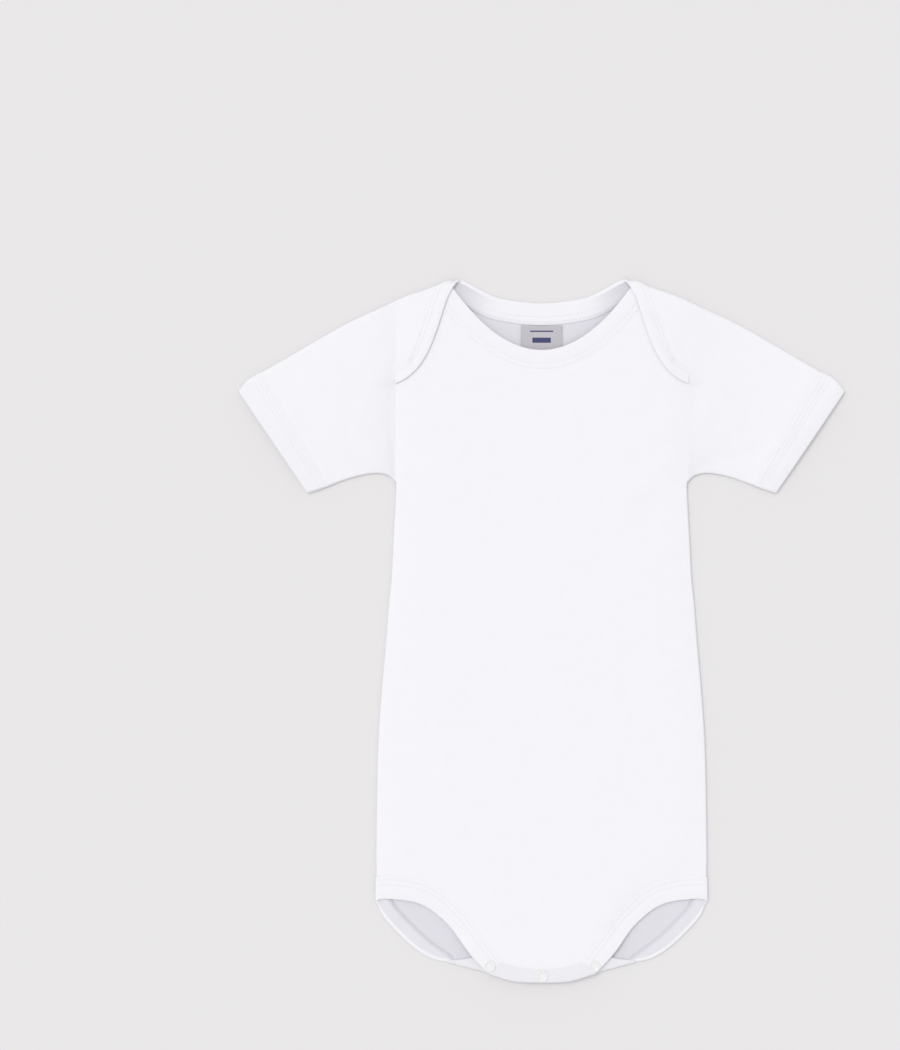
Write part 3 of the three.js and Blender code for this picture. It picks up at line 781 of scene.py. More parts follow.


# the second colour of each pair is the darker tone for the mottle, and painted shade for the
# knit's grooves
WHITE, WHITE_GROOVE = (0.885, 0.88, 0.915), (0.81, 0.8, 0.845)
# the inside faces' colours, darker than the face: painted shade inside the garment
SHADED_INSIDE, SHADED_INSIDE_GROOVE = (0.755, 0.74, 0.79), (0.665, 0.65, 0.705)
# the tabs at the crotch are a heavier rib, which looks a little duller
TAB_WHITE, TAB_GROOVE = (0.85, 0.845, 0.88), (0.765, 0.755, 0.8)
JERSEY = make_cotton("jersey", WHITE, WHITE_GROOVE, 0.95, 0.8, 0.09)
JERSEY_INSIDE_SHADED = make_cotton("jersey_inside_shaded", SHADED_INSIDE, SHADED_INSIDE_GROOVE, 0.95, 0.8, 0.12)
RIB = make_cotton("rib", WHITE, WHITE_GROOVE, 1.3, 0.9, 0.14)
RIB_TAB = make_cotton("rib_tab", TAB_WHITE, TAB_GROOVE, 1.3, 0.9, 0.2)
RIB_INSIDE_SHADED = make_cotton("rib_inside_shaded", SHADED_INSIDE, SHADED_INSIDE_GROOVE, 1.3, 0.9, 0.16)
THREAD = make_cotton("thread", (0.86, 0.855, 0.885), (0.76, 0.75, 0.79), 0.3, 0.6, 0.05)
finishes = (JERSEY, JERSEY_INSIDE_SHADED, RIB, RIB_TAB, RIB_INSIDE_SHADED, THREAD)
print("cotton finishes:", ", ".join(material.name for material in finishes))

# %% [markdown]
# The front panel is one piece of jersey. Its columns start where the stations of the neck seam
# are, so its edge meets the band exactly. The first and last rows run on inside the bands, as
# the raw edge of a real panel does, and so no gap shows along the seam. At the side seam the
# last columns turn down round the edge, where they meet the back panel.

# %% Sizes along the panels' edges
# how far an edge runs on inside its band, and how deep it lies there, on the table less so
TUCK = 0.9
TUCK_DEPTH = 0.55
FLAT_TUCK_DEPTH = 0.2
SIDE_RADIUS = (LAYER + WALL) / 2
TURN_COLUMNS = 4
PANEL_EDGE_X = ARMHOLE_X - SIDE_RADIUS
ARMHOLE_GROOVE = 0.03
PLACKET_LOWEST, PLACKET_RISE = -218.6, 0.0066
# how far the back panel's edge runs on over the end of the leg band, and over what width
LEG_END_OVERLAP, LEG_END_BLEND = 2.2, 6
# at the hip the panels draw in, behind the leg band's turn
HIP_DRAW = 0.6
# x, how far the back tab reaches up under the front there
back_tab_depth = table_curve([
    (-10, 9.5), (0, 9.5), (36, 9.5), (42, 6.4), (47, 4.4), (53, 2.7), (57, 1.5), (61, 1.2),
])
# how far below the shoulder fold the front ends, under the flap
FRONT_HIDDEN_EDGE = 3
# the least distance between two columns
COLUMN_GAP = 0.5
print("radius of the side seam's turn:", round(SIDE_RADIUS, 2), "mm")

# %% [markdown]
# Each edge is a function of x, made from what it meets: the front panel ends at the tab and the
# leg seam below, and at the neck seam or under the flap above. The back panel ends at the leg
# seam and at the turned-up tab. So when a band is changed, the panels follow.

# %% Where the panels' edges run


def placket_top(x):
    return PLACKET_LOWEST + PLACKET_RISE * x * x


def crotch_fold(x):
    return crotch_outline(abs(x)) + CROTCH_FOLD_HEIGHT / 2


def front_lower_edge(x):
    across = abs(x)
    if across < front_leg_seam[0].x:
        return placket_top(across)
    return line_at(front_leg_seam, across)


def back_lower_edge(x):
    across = abs(x)
    start = back_leg_seam[0].x
    if across < start:
        return crotch_fold(across) + back_tab_depth(across) - SEAM
    overlap = LEG_END_OVERLAP * (1 - ease(start, start + LEG_END_BLEND, across))
    return line_at(back_leg_seam, across) - overlap


def front_upper_edge(x):
    hidden = shoulder_fold(abs(x)) - FRONT_HIDDEN_EDGE
    if abs(x) > front_neck_seam[-1].x + COLUMN_GAP:
        return hidden
    return min(hidden, line_at(front_neck_seam, abs(x)))


def panel_half(y):
    return half_width(y) - HIP_DRAW * ease(-147, -156, y)


def both_ways(right):
    return [-x for x in reversed(right)] + [0] + list(right)


def evenly_to_edge(start, count):
    return [mix(start, PANEL_EDGE_X, (step + 1) / count) for step in range(count)]


print("the front runs from y", round(front_lower_edge(0), 1), "to", round(front_upper_edge(0), 1))
print("the back starts at y", round(back_lower_edge(0), 1))

# %% [markdown]
# panel_spot places one point of a panel. side_share is 0 on the flat of the cloth, and runs to
# 1 over the last columns, which turn round the side seam below the armhole. At the armhole they
# stay flat and dip a little, so the seam of the sleeve reads as a fine groove.

# %% One point of a panel


def panel_spot(lay, share, side_share, cut, depth, thickness):
    side = math.copysign(1, share)
    half = panel_half(cut)
    x = share * (half - SIDE_RADIUS)
    if not side_share:
        return (share * (half - SIDE_RADIUS), cut), lay(x, cut, depth, thickness)
    flat_x = x + side * SIDE_RADIUS * side_share
    flat = lay(flat_x, cut, depth + ARMHOLE_GROOVE * side_share ** 3, thickness)
    start = lay(x, cut, depth, thickness)
    angle = side_share * math.pi / 2
    turned = Vector((
        x + side * (SIDE_RADIUS - depth) * math.sin(angle), start.y,
        SIDE_RADIUS + (start.z - SIDE_RADIUS) * math.cos(angle),
    ))
    turn = 1 - ease(93, 99, cut)
    cut_x = x + side * side_share * SIDE_RADIUS * mix(1, math.pi / 2, turn)
    return (cut_x, cut), flat.lerp(turned, turn)


def with_side_turns(columns):
    """Adds the columns that turn round the side: each entry is (share, side share)."""
    inner = [(x / PANEL_EDGE_X, 0) for x in columns]
    turn = [step / TURN_COLUMNS for step in range(1, TURN_COLUMNS + 1)]
    return [(-1, s) for s in reversed(turn)] + inner + [(1, s) for s in turn]


print("columns that turn round each side:", TURN_COLUMNS)

# %% [markdown]
# The front panel could be modelled as a box and pressed flat, but then its edges would have to
# be cut to the curves of the neck and the legs. Here each column of the grid runs from the leg
# edge to the neck edge, so the grid has the panel's outline from the start. Its rows are even,
# apart from the first and the last, which are the tucked ones.

# %% Front panel
FRONT_ROWS = 168


def make_front_panel():
    neck = [point.x for point in front_neck_seam if point.x > COLUMN_GAP]
    columns = with_side_turns(both_ways(neck + evenly_to_edge(neck[-1], 16)))

    def place(column, row):
        share, side_share = columns[column]
        lower = front_lower_edge(share * (HIP_X - SIDE_RADIUS))
        upper = front_upper_edge(share * PANEL_EDGE_X)
        if row in (0, FRONT_ROWS):
            y = lower - TUCK if row == 0 else upper + TUCK
            return panel_spot(lay_front, share, side_share, y, TUCK_DEPTH, BINDING)
        y = mix(lower, upper, (row - 1) / (FRONT_ROWS - 2))
        return panel_spot(lay_front, share, side_share, y, 0, WALL)

    panel = laid_grid(len(columns) - 1, FRONT_ROWS, place)
    piece = make_piece("front_panel", panel, JERSEY, ["body_front"])
    add_wall(piece, WALL, JERSEY_INSIDE_SHADED)
    return piece


front_panel = make_front_panel()

# %% [markdown]
# The back panel is made in the same way, but its rows go up the flat part, over the shoulder
# fold and down the flap. Where a column ends early, at the neck, its last rows are packed
# close together under the edge.

# %% Rows of the back panel
FLAT_ROWS, ROLL_ROWS, FLAP_ROWS = 165, 10, 22
# how close together the last rows are packed
TAIL_STEP = 0.03
# how much further the back's edge runs in at the flap's tip
TIP_TUCK = 2.5


def back_panel_columns():
    right = []
    for point in back_neck_seam:
        last = right[-1] if right else 0
        if last + COLUMN_GAP < point.x < PANEL_EDGE_X - COLUMN_GAP:
            right.append(point.x)
    return with_side_turns(both_ways(right + [PANEL_EDGE_X]))


def back_panel_cut(column_x, lower, row):
    across = abs(column_x)
    upper = line_at(back_neck_seam, across)
    fold, roll = shoulder_fold(across), roll_length(across)
    last = FLAT_ROWS + ROLL_ROWS + FLAP_ROWS
    flap_end = max(upper, fold + roll + FLAP_ROWS * TAIL_STEP)
    if row <= FLAT_ROWS:
        wanted = mix(lower, fold, (row - 1) / (FLAT_ROWS - 1))
    elif row <= FLAT_ROWS + ROLL_ROWS:
        wanted = fold + roll * (row - FLAT_ROWS) / ROLL_ROWS
    else:
        wanted = mix(fold + roll, flap_end, (row - FLAT_ROWS - ROLL_ROWS) / FLAP_ROWS)
    return min(wanted, upper - (last - row) * TAIL_STEP)


print("columns of the back panel:", len(back_panel_columns()))

# %% [markdown]
# Where the neck seam is steep, along the flap, the tucked edge has to run on further up the
# column to reach as far in under the band. The outer face is the one on the table, so the
# grid's faces are turned over.

# %% Back panel


def make_back_panel():
    columns = back_panel_columns()
    last = FLAT_ROWS + ROLL_ROWS + FLAP_ROWS + 1

    def place(column, row):
        share, side_share = columns[column]
        column_x = share * (PANEL_EDGE_X + side_share * SIDE_RADIUS)
        lower = back_lower_edge(share * (HIP_X - SIDE_RADIUS))
        if row == 0:
            cut, depth = lower - TUCK, FLAT_TUCK_DEPTH / 2
            return panel_spot(lay_back, share, side_share, cut, depth, WALL)
        if row == last:
            across = abs(column_x)
            upper = line_at(back_neck_seam, across)
            before = line_at(back_neck_seam, across - 0.5)
            steepness = math.hypot(1, line_at(back_neck_seam, across + 0.5) - before)
            tuck = TUCK * min(4, steepness) + TIP_TUCK * ease(88, 93, across)
            over_fold = ease(0, 3, upper - shoulder_fold(across))
            depth = mix(FLAT_TUCK_DEPTH, TUCK_DEPTH, over_fold)
            return panel_spot(lay_back, share, side_share, upper + tuck, depth, BINDING)
        cut = back_panel_cut(column_x, lower, row)
        return panel_spot(lay_back, share, side_share, cut, 0, WALL)

    panel = laid_grid(len(columns) - 1, last, place)
    bmesh.ops.reverse_faces(panel, faces=panel.faces)
    piece = make_piece("back_panel", panel, JERSEY, ["body_back"])
    add_wall(piece, WALL, JERSEY_INSIDE_SHADED)
    return piece


back_panel = make_back_panel()

# %% [markdown]
# The bands are strips of rib, folded over the raw edge and stitched down. Their section is
# drawn once: round at the finished edge, where the strip folds, and with a shallow groove
# under each line of stitches, where the thread pulls the cloth in. It starts on the inner face,
# goes round the fold to the outer face, and ends at the seam.

# %% Section of a folded band
FOLD_STEPS = 6
# how far from the finished edge the flat of the inner face starts
RIM = 2.3
STITCH_GROOVE = 0.1


def band_section(width, stitch_lines, thickness=BINDING, flush=0):
    """Distance from the finished edge and depth under the outer face, all round the strip.
    flush is how far the outer face comes down at the seam, to lie level with the panel."""
    radius = thickness / 2

    def face(distance):
        return flush * ease(0.3 * width, 0.97 * width, distance)

    section = [(mix(RIM, width - 0.15, s), thickness) for s in (1, 0.67, 0.33, 0)]
    for step in range(FOLD_STEPS + 1):
        angle = math.pi * step / FOLD_STEPS
        section.append((radius - radius * math.sin(angle), radius + radius * math.cos(angle)))
    outer = []
    half = min(0.7, 0.07 * width)
    for line in stitch_lines:
        outer += [(line - half, face(line)), (line, face(line) + STITCH_GROOVE)]
        outer.append((line + half, face(line)))
    if stitch_lines:
        middle = mix(radius, stitch_lines[0], 0.55)
        outer.insert(0, (middle, face(middle) - 0.05))
    else:
        plain = [mix(radius, width, share) for share in (0.35, 0.7)]
        outer = [(distance, face(distance)) for distance in plain]
    section += outer + [(width - 0.35, flush), (width - 0.08, flush + 0.04), (width, flush + 0.2)]
    section += [(width, thickness - 0.15), section[0]]
    return section


def section_lengths(section):
    lengths = [0]
    for (a, b), (c, d) in zip(section, section[1:]):
        lengths.append(lengths[-1] + math.hypot(c - a, d - b))
    return lengths


neck_section = band_section(NECK_WIDTH, [9, 12])
print("points round a band:", len(neck_section))
print("cloth round it:", round(section_lengths(neck_section)[-1], 1), "mm")

# %% [markdown]
# The section is swept along the stations as one closed skin. The grid's last row comes to lie
# on its first, so merging doubles joins them, and the two open ends are filled. The first rows
# are the inner face, which can have a finish of its own.

# %% A band along its stations
INNER_ROWS = 3


def close_skin(grid):
    bmesh.ops.remove_doubles(grid, verts=grid.verts, dist=0.01 * MM)
    rims = rim_edges(grid)
    bmesh.ops.holes_fill(grid, edges=rims, sides=0)
    sharpen_only(grid, rims)
    bmesh.ops.recalc_face_normals(grid, faces=grid.faces)


def always_flush(spot):
    return BINDING_STEP


def band_along(stations, lay, stitch_shares, side=1, flush_at=always_flush):
    """A folded band swept along its stations, closed at both ends."""
    travelled = section_lengths([tuple(station["edge"]) for station in stations])
    count = len(band_section(NECK_WIDTH, stitch_shares))

    def place(column, row):
        station = stations[column]
        lines = [share * station["width"] for share in stitch_shares]
        thickness = station.get("thickness", BINDING)
        section = band_section(station["width"], lines, thickness, flush_at(station["edge"]))
        distance, depth = section[row]
        spot = station_point(station, distance)
        laid = lay(side * spot.x, spot.y, depth, BINDING)
        return (travelled[column], section_lengths(section)[row]), laid

    band = laid_grid(len(stations) - 1, count - 1, place, INNER_ROWS)
    close_skin(band)
    return band


print("rows on a band's inner face:", INNER_ROWS)

# %% [markdown]
# The neck has two bands, the front one lying under the flaps of the back one. In the photograph
# the back band is as white as the body in the middle of the collar, and grows darker towards
# the peaks, where the front's collar stands over it. That is the band's inner face, so its
# second material gets a shade that starts some way out from the strip's middle.

# %% Neck bands
# lines of stitches, as shares of the way from the finished edge to the seam
NECK_STITCHES = (0.62, 0.85)
# how far from the middle the shade starts and is full, and its depth
COLLAR_SHADE = (22, 58, 0.42)
neckband_front = make_piece(
    "neckband_front", band_along(FRONT_NECK, lay_front, NECK_STITCHES), RIB,
    ["neck_binding_front"],
)


def neck_flush(spot):
    return BINDING_STEP * ease(0, 3, spot.y - shoulder_fold(abs(spot.x)))


neckband_back = make_piece(
    "neckband_back", band_along(BACK_NECK, lay_back, NECK_STITCHES, 1, neck_flush), RIB,
    ["neck_binding_back"],
)
neckband_front.data.materials.append(RIB)
collar_map = neckband_back.data.uv_layers[CUT_MAP].data
collar_middle = max(spot.uv.x for spot in collar_map) / 2 / MM
collar_shade = ("X", collar_middle, *COLLAR_SHADE)
# the collar's inner face, with painted shade towards the peaks
rib_collar_shaded = make_cotton("rib_collar_shaded", WHITE, WHITE_GROOVE, 1.3, 0.9, 0.14, collar_shade)
neckband_back.data.materials.append(rib_collar_shaded)
print("middle of the collar strip:", round(collar_middle, 1), "mm from its end")

# %% [markdown]
# Each leg opening has one band. It is worked out for the right side. The left one is laid by
# the same function with x turned round, which also gives it that side's own creases. The far
# half of the band shows its inner face through the opening. Its finish is darker than the outer
# face, as painted shade for the depth of the opening. It is darkest in the fine line along its
# seam, which is a painted shadow of the seam's edge.

# %% Leg bands
LEG_STITCHES = (0.62, 0.84)
# the inner face's colours: painted shade, darker than the outer face
SHADED_LEG_INSIDE, SHADED_LEG_INSIDE_GROOVE = (0.785, 0.775, 0.83), (0.7, 0.69, 0.745)
# on the cut map the seam is at 0: full shade up to 0.8 mm from it, and none beyond 3.6 mm
SEAM_SHADE = ("Y", 0, 3.6, 0.8, 0.3)


def lay_leg_side(x, y, depth, thickness):
    spot = lay_leg(abs(x), y, depth, thickness)
    return Vector((math.copysign(spot.x, x), spot.y, spot.z))


def leg_flush(spot):
    return BINDING_STEP * (1 - ease(LEG_FOLD_X - 3, LEG_FOLD_X + 3, spot.x))


RIB_LEG_INSIDE_SHADED = make_cotton(
    "rib_leg_inside_shaded", SHADED_LEG_INSIDE, SHADED_LEG_INSIDE_GROOVE, 1.3, 0.9, 0.16, SEAM_SHADE,
)
legbands = {}
for side_name, side in (("left", -1), ("right", 1)):
    band = band_along(LEG, lay_leg_side, LEG_STITCHES, side, leg_flush)
    legbands[side_name] = make_piece(
        f"legband_{side_name}", band, RIB, [f"leg_binding_{side_name}"],
    )
    legbands[side_name].data.materials.append(RIB_LEG_INSIDE_SHADED)

# %% [markdown]
# A sleeve is a tube pressed flat. One ring of it goes along the table from the underarm line to
# the shoulder line, turns over in a half circle, and comes back on top. The rings' heights grow
# towards the middle, where the cloth stands a little off itself. At the armhole the sleeve is as
# thick as the layers that it is sewn to, the flap among them.

# %% Rings of a flattened tube
FLAT_STEPS, ARC_STEPS = 60, 6
RING_COLUMNS = 2 * (FLAT_STEPS + ARC_STEPS)
# the underside can only rise off the table, and its creases are this high against the top's
UNDERSIDE_CREASES = 0.5


def ring_spot(low, high, height_at, column, inset, lift_at=None):
    """A point of a flattened ring and its distance round the ring."""
    length = (high - low).length
    low_radius, high_radius = height_at(0) / 2, height_at(1) / 2
    run = length - low_radius - high_radius
    way = (high - low) / length
    column = column % RING_COLUMNS if column < RING_COLUMNS else RING_COLUMNS
    top = False
    bottom = column <= FLAT_STEPS
    if bottom:
        share = column / FLAT_STEPS
        distance, z, travelled = low_radius + run * share, inset, run * share
    elif column <= FLAT_STEPS + ARC_STEPS:
        angle = math.pi * (column - FLAT_STEPS) / ARC_STEPS
        distance = length - high_radius + (high_radius - inset) * math.sin(angle)
        z = high_radius - (high_radius - inset) * math.cos(angle)
        travelled = run + high_radius * angle
    elif column <= 2 * FLAT_STEPS + ARC_STEPS:
        share = 1 - (column - FLAT_STEPS - ARC_STEPS) / FLAT_STEPS
        distance, z = low_radius + run * share, height_at(share) - inset
        travelled = run + math.pi * high_radius + run * (1 - share)
        top = True
    else:
        angle = math.pi * (column - 2 * FLAT_STEPS - ARC_STEPS) / ARC_STEPS
        distance = low_radius - (low_radius - inset) * math.sin(angle)
        z = low_radius + (low_radius - inset) * math.cos(angle)
        travelled = 2 * run + math.pi * high_radius + low_radius * angle
    spot = low + way * distance
    if top and lift_at:
        z += lift_at(spot.x, spot.y, share)
    if bottom and lift_at:
        z += UNDERSIDE_CREASES * abs(lift_at(spot.x, spot.y, share))
    return Vector((spot.x, spot.y, z)), travelled


print("columns round a sleeve:", RING_COLUMNS)

# %% [markdown]
# The rings follow two curves, the underarm and the shoulder line, from the armhole to the cuff.
# The creases run out from the underarm, where the cloth bunches when the sleeve is laid down.
# They are lines with a width and a height, like those of the body, and each sleeve has its own.

# %% Sizes of the sleeves
UNDERARM = [(95.1, 97), (98.6, 100.6), (106.6, 102.7), (118, 101.2), (129, 98), (137.8, 94.6)]
SHOULDER = [(95.1, 214.6), (108, 208.6), (126, 200.2), (144.3, 190), (162, 179.6), (180.4, 169)]
underarm_line = [Vector(point) for point in UNDERARM]
shoulder_line = [Vector(point) for point in SHOULDER]
# both ends of the cuff's seam, and of its hem
CUFF_START = (Vector((138.2, 94.2)), Vector((181, 168.8)))
CUFF_END = (Vector((152, 89.6)), Vector((197, 156)))
# how far the cuff bulges past a straight line at its shoulder side
CUFF_CORNER = Vector((1.2, 1.5))
CUFF_WALL, CUFF_PUFF, SLEEVE_PUFF = 1.6, 1.2, 1.5
# length of the underarm seam and of the shoulder line
UNDERARM_LENGTH, SHOULDER_LENGTH = 45, 97
# where on the armhole the flap ends, as a share of the way from underarm to shoulder
FLAP_END_SHARE = 0.552
SLEEVE_CREASES = {
    "right": [
        (99, 106, 124, 138, 6, 0.9), (104, 106, 146, 120, 5, -0.7), (100, 118, 122, 172, 8, 0.65),
        (112, 104, 140, 106, 4, 0.6), (118, 190, 150, 170, 8, -0.5), (98, 150, 112, 186, 7, -0.45),
    ],
    "left": [
        (100, 106, 120, 144, 7, 0.8), (106, 106, 142, 128, 5, 0.6), (99, 124, 118, 180, 9, -0.6),
        (116, 104, 144, 104, 4, -0.5), (124, 186, 158, 160, 8, 0.5), (103, 168, 126, 182, 7, 0.4),
    ],
}
print("creases of each sleeve:", [len(creases) for creases in SLEEVE_CREASES.values()])

# %% [markdown]
# One ring of a sleeve has its two ends, on the underarm and on the shoulder line, and a
# thickness for every place between them. way is how far down the sleeve the ring is, from 0 at
# the armhole to 1 at the cuff. The first two rings are drawn in under the body's edge, and the
# last runs on inside the cuff, so no gap shows at either seam.

# %% One ring of a sleeve
EVEN_RINGS = 46
# way, and how far the ring is drawn in
SLEEVE_RINGS = [(-0.0115, 0.08), (-0.005, 0.03)]
SLEEVE_RINGS += [(step / EVEN_RINGS, 0) for step in range(EVEN_RINGS + 1)]
SLEEVE_RINGS += [(1.02, TUCK_DEPTH)]
# length of sleeve that way counts in, at the armhole
ARMHOLE_REACH = 70


def cuff_height(share):
    return 2 * CUFF_WALL + SEAM + CUFF_PUFF * math.sin(math.pi * share)


def sleeve_ends(way):
    if way > 1:
        return CUFF_START[0].lerp(CUFF_END[0], 0.1), CUFF_START[1].lerp(CUFF_END[1], 0.1)
    along = max(0, way)
    low, high = spline_point(underarm_line, along), spline_point(shoulder_line, along)
    if way < 0:
        inwards = Vector((way * ARMHOLE_REACH, 0))
        low, high = low + inwards, high + inwards
    return low, high


def sleeve_height(way, share):
    """Near the armhole the sleeve is a layer higher where the flap is sewn in with it."""
    spread = 0.01 + 0.16 * max(0, way)
    step_share = ease(FLAP_END_SHARE - spread, FLAP_END_SHARE + spread, share)
    flap_step = LAYER * step_share * (1 - ease(0, 0.5, way))
    puff = SLEEVE_PUFF * math.sin(math.pi * share) * ease(0, 0.3, way)
    return mix(LAYER + WALL + flap_step + puff, cuff_height(share), ease(0.84, 1, way))


print("height of a sleeve halfway:", round(sleeve_height(0.5, 0.5), 2), "mm")

# %% [markdown]
# The creases fade out towards the seams at both ends, and towards the two long folds of the
# flattened tube. The tube's first and last columns meet at the underarm, where merging doubles
# closes it.

# %% Sleeves


def make_sleeve(side_name, side):
    creases = SLEEVE_CREASES[side_name]

    def place(column, row):
        way, inset = SLEEVE_RINGS[row]
        low, high = sleeve_ends(way)

        def height_at(share):
            return sleeve_height(way, share)

        def lift_at(x, y, share):
            fade = ease(0, 0.12, way) * (1 - ease(0.9, 1, way)) * math.sin(math.pi * share) ** 0.6
            return fade * crease_height(creases, x, y)

        spot, travelled = ring_spot(low, high, height_at, column, inset, lift_at)
        across = (spot.to_2d() - low).dot(high - low) / (high - low).length_squared
        length = mix(UNDERARM_LENGTH, SHOULDER_LENGTH, min(1, max(0, across)))
        spot.x *= side
        return (travelled, way * length), spot

    tube = laid_grid(RING_COLUMNS, len(SLEEVE_RINGS) - 1, place)
    bmesh.ops.remove_doubles(tube, verts=tube.verts, dist=0.01 * MM)
    sharpen_only(tube, rim_edges(tube))
    bmesh.ops.recalc_face_normals(tube, faces=tube.faces)
    name = f"sleeve_cloth_{side_name}"
    piece = make_piece(name, tube, JERSEY, [f"sleeve_{side_name}"])
    add_wall(piece, WALL, JERSEY_INSIDE_SHADED)
    return piece


sleeves = {name: make_sleeve(name, side) for name, side in (("left", -1), ("right", 1))}

# %% [markdown]
# A cuff is the same kind of ring, with the section of a folded band: round at the hem and
# grooved under its three lines of stitches. It could be the end of the sleeve, turned in, but as
# a piece of its own it gets the rib's coarser knit and a clear edge where it is sewn on.

# %% Cuffs
CUFF_WIDTH = 15
CUFF_STITCHES = (0.6, 0.735, 0.87)


def cuff_spot(column, share, depth):
    low = CUFF_END[0].lerp(CUFF_START[0], share)
    bulge = CUFF_CORNER * math.sin(math.pi * min(1, share))
    high = CUFF_END[1].lerp(CUFF_START[1], share) + bulge
    return ring_spot(low, high, cuff_height, column, depth)


def make_cuff(side_name, side):
    lines = [share * CUFF_WIDTH for share in CUFF_STITCHES]
    section = band_section(CUFF_WIDTH, lines, CUFF_WALL)
    across = section_lengths(section)

    def place(column, row):
        distance, depth = section[row]
        spot, travelled = cuff_spot(column, distance / CUFF_WIDTH, depth)
        spot.x *= side
        return (travelled, across[row]), spot

    cuff = laid_grid(RING_COLUMNS, len(section) - 1, place)
    close_skin(cuff)
    return make_piece(f"sleeve_band_{side_name}", cuff, RIB, [f"cuff_{side_name}"])


cuffs = {name: make_cuff(name, side) for name, side in (("left", -1), ("right", 1))}

# %% [markdown]
# At the crotch the front ends in a short tab with the caps of the snaps. It is a folded band
# like the others, whose finished edge is the crotch's curve, so the same function sweeps it. Its
# ends lie level with the leg bands that they are sewn to, and it has no stitches that show.

# %% Front tab
FRONT_TAB_HALF = 34.6
FRONT_TAB_COLUMNS = 60
# the least width of the tab, at its ends
FRONT_TAB_LEAST = 1.8


def front_tab_stations():
    start = LEG[0]
    leg_end = [station_point(start, start["width"]), start["edge"]]
    stations = []
    for step in range(FRONT_TAB_COLUMNS + 1):
        x = mix(-FRONT_TAB_HALF, FRONT_TAB_HALF, step / FRONT_TAB_COLUMNS)
        upper = placket_top(abs(x)) - 0.1
        if abs(x) > leg_end[0].x:
            upper = min(upper, line_at(leg_end, abs(x)) + 0.35)
        lower = min(crotch_outline(abs(x)), upper - FRONT_TAB_LEAST)
        edge, inward = Vector((x, lower)), Vector((0, 1))
        stations.append({"edge": edge, "inward": inward, "width": upper - lower})
    return stations


def front_tab_flush(spot):
    """Beside a leg band the tab is as high as the band's end."""
    start = LEG[0]["edge"].x
    share = (start - abs(spot.x)) / (start - leg_seam[0].x)
    return BINDING_STEP * ease(0.3, 0.97, min(1, share))


FRONT_TAB = front_tab_stations()
front_tab = make_piece(
    "front_tab", band_along(FRONT_TAB, lay_front, (), 1, front_tab_flush), RIB_TAB,
    ["placket_front"],
)
front_tab.data.materials.append(RIB_TAB)

# %% [markdown]
# The back comes up round the crotch as a longer tab under the front one, and carries the studs.
# It is one layer of rib: it starts flat on the table, a little way up from the crotch, rolls
# over in a half circle, and ends under the front. The part that lies on the table grows narrow
# towards its ends, where the leg bands take over.

# %% Back tab
BACK_TAB_HALF = 60.6
BACK_TAB_COLUMNS, BACK_TAB_ROWS = 72, 30
back_tab_edge = table_curve([(-20, -206), (0, -206), (36, -208), (46.2, -211.9), (60.6, -213.8)])


def make_back_tab():
    radius = CROTCH_FOLD_HEIGHT / 2
    roll = math.pi * (radius - WALL / 2)

    def place(column, row):
        x = mix(-BACK_TAB_HALF, BACK_TAB_HALF, column / BACK_TAB_COLUMNS)
        fold = crotch_fold(x)
        turned_up = max(0.5, back_tab_edge(abs(x)) - fold)
        past = mix(-back_tab_depth(abs(x)), roll + turned_up, row / BACK_TAB_ROWS)
        if past <= 0:
            spot = Vector((x, fold - past, 0))
        elif past >= roll:
            spot = Vector((x, fold + past - roll, CROTCH_FOLD_HEIGHT))
        else:
            angle = math.pi * past / roll
            spot = Vector((x, fold - radius * math.sin(angle), radius - radius * math.cos(angle)))
        return (x, past), spot

    tab = laid_grid(BACK_TAB_COLUMNS, BACK_TAB_ROWS, place)
    piece = make_piece("back_tab", tab, RIB_TAB, ["placket_back"])
    add_wall(piece, WALL, RIB_INSIDE_SHADED)
    return piece


back_tab = make_back_tab()

# %% [markdown]
# The neck label is a woven tape, sewn in under the back band. It carries three plain navy bars,
# which are part of its finish: a bar is where a place on the cut map is near enough to the bar's
# middle, both up and across. Two waves, one across the other, are the tape's weave.

# %% Woven tape
TAPE_GREY, TAPE_NAVY = (0.5, 0.48, 0.52), (0.035, 0.045, 0.14)
THREAD_ROW, THREAD_COLUMN = 0.6, 0.5
# middle's height on the tape, half thickness and half width
BARS = [(25.4, 0.45, 7.5), (19.6, 1.7, 6), (6, 0.45, 7.5)]


def waves(tree, along, length):
    return node_value(tree, "SINE", node_value(tree, "MULTIPLY", along, 2 * math.pi / length))


def make_tape_finish():
    material, tree, shader = new_finish("woven_tape", 0.6, 0.1)
    tape = split_axes(tree, cut_map_of(tree))
    rows = waves(tree, tape["Y"], THREAD_ROW * MM)
    threads = waves(tree, tape["X"], THREAD_COLUMN * MM)
    weave = node_value(tree, "MULTIPLY", rows, threads)
    from_middle = node_value(tree, "ABSOLUTE", tape["X"])
    bars = None
    for middle, half_thick, half_wide in BARS:
        up = node_value(tree, "SUBTRACT", tape["Y"], middle * MM)
        near = node_value(tree, "LESS_THAN", node_value(tree, "ABSOLUTE", up), half_thick * MM)
        beside = node_value(tree, "LESS_THAN", from_middle, half_wide * MM)
        bar = node_value(tree, "MULTIPLY", near, beside)
        bars = bar if bars is None else node_value(tree, "MAXIMUM", bars, bar)
    colour = mixed_colour(tree, bars, TAPE_GREY, TAPE_NAVY)
    tree.links.new(colour, shader.inputs["Base Color"])
    add_relief(tree, weave, 0.5, 0.06)
    return material


WOVEN_TAPE = make_tape_finish()
print("bars on the tape:", len(BARS))

# %% [markdown]
# Tape is stiffer than jersey, so the label doesn't lie quite flat. Its free end and corners
# stand up a little, and a slow wave runs through it. A flat box would look like card.

# %% Neck label
LABEL_WIDTH, LABEL_LENGTH, TAPE = 26.6, 29, 0.45
LABEL_TOP = BACK_NECK_LOWEST - NECK_WIDTH - SEAM
LABEL_CURL, LABEL_WAVE = 0.45, 0.1


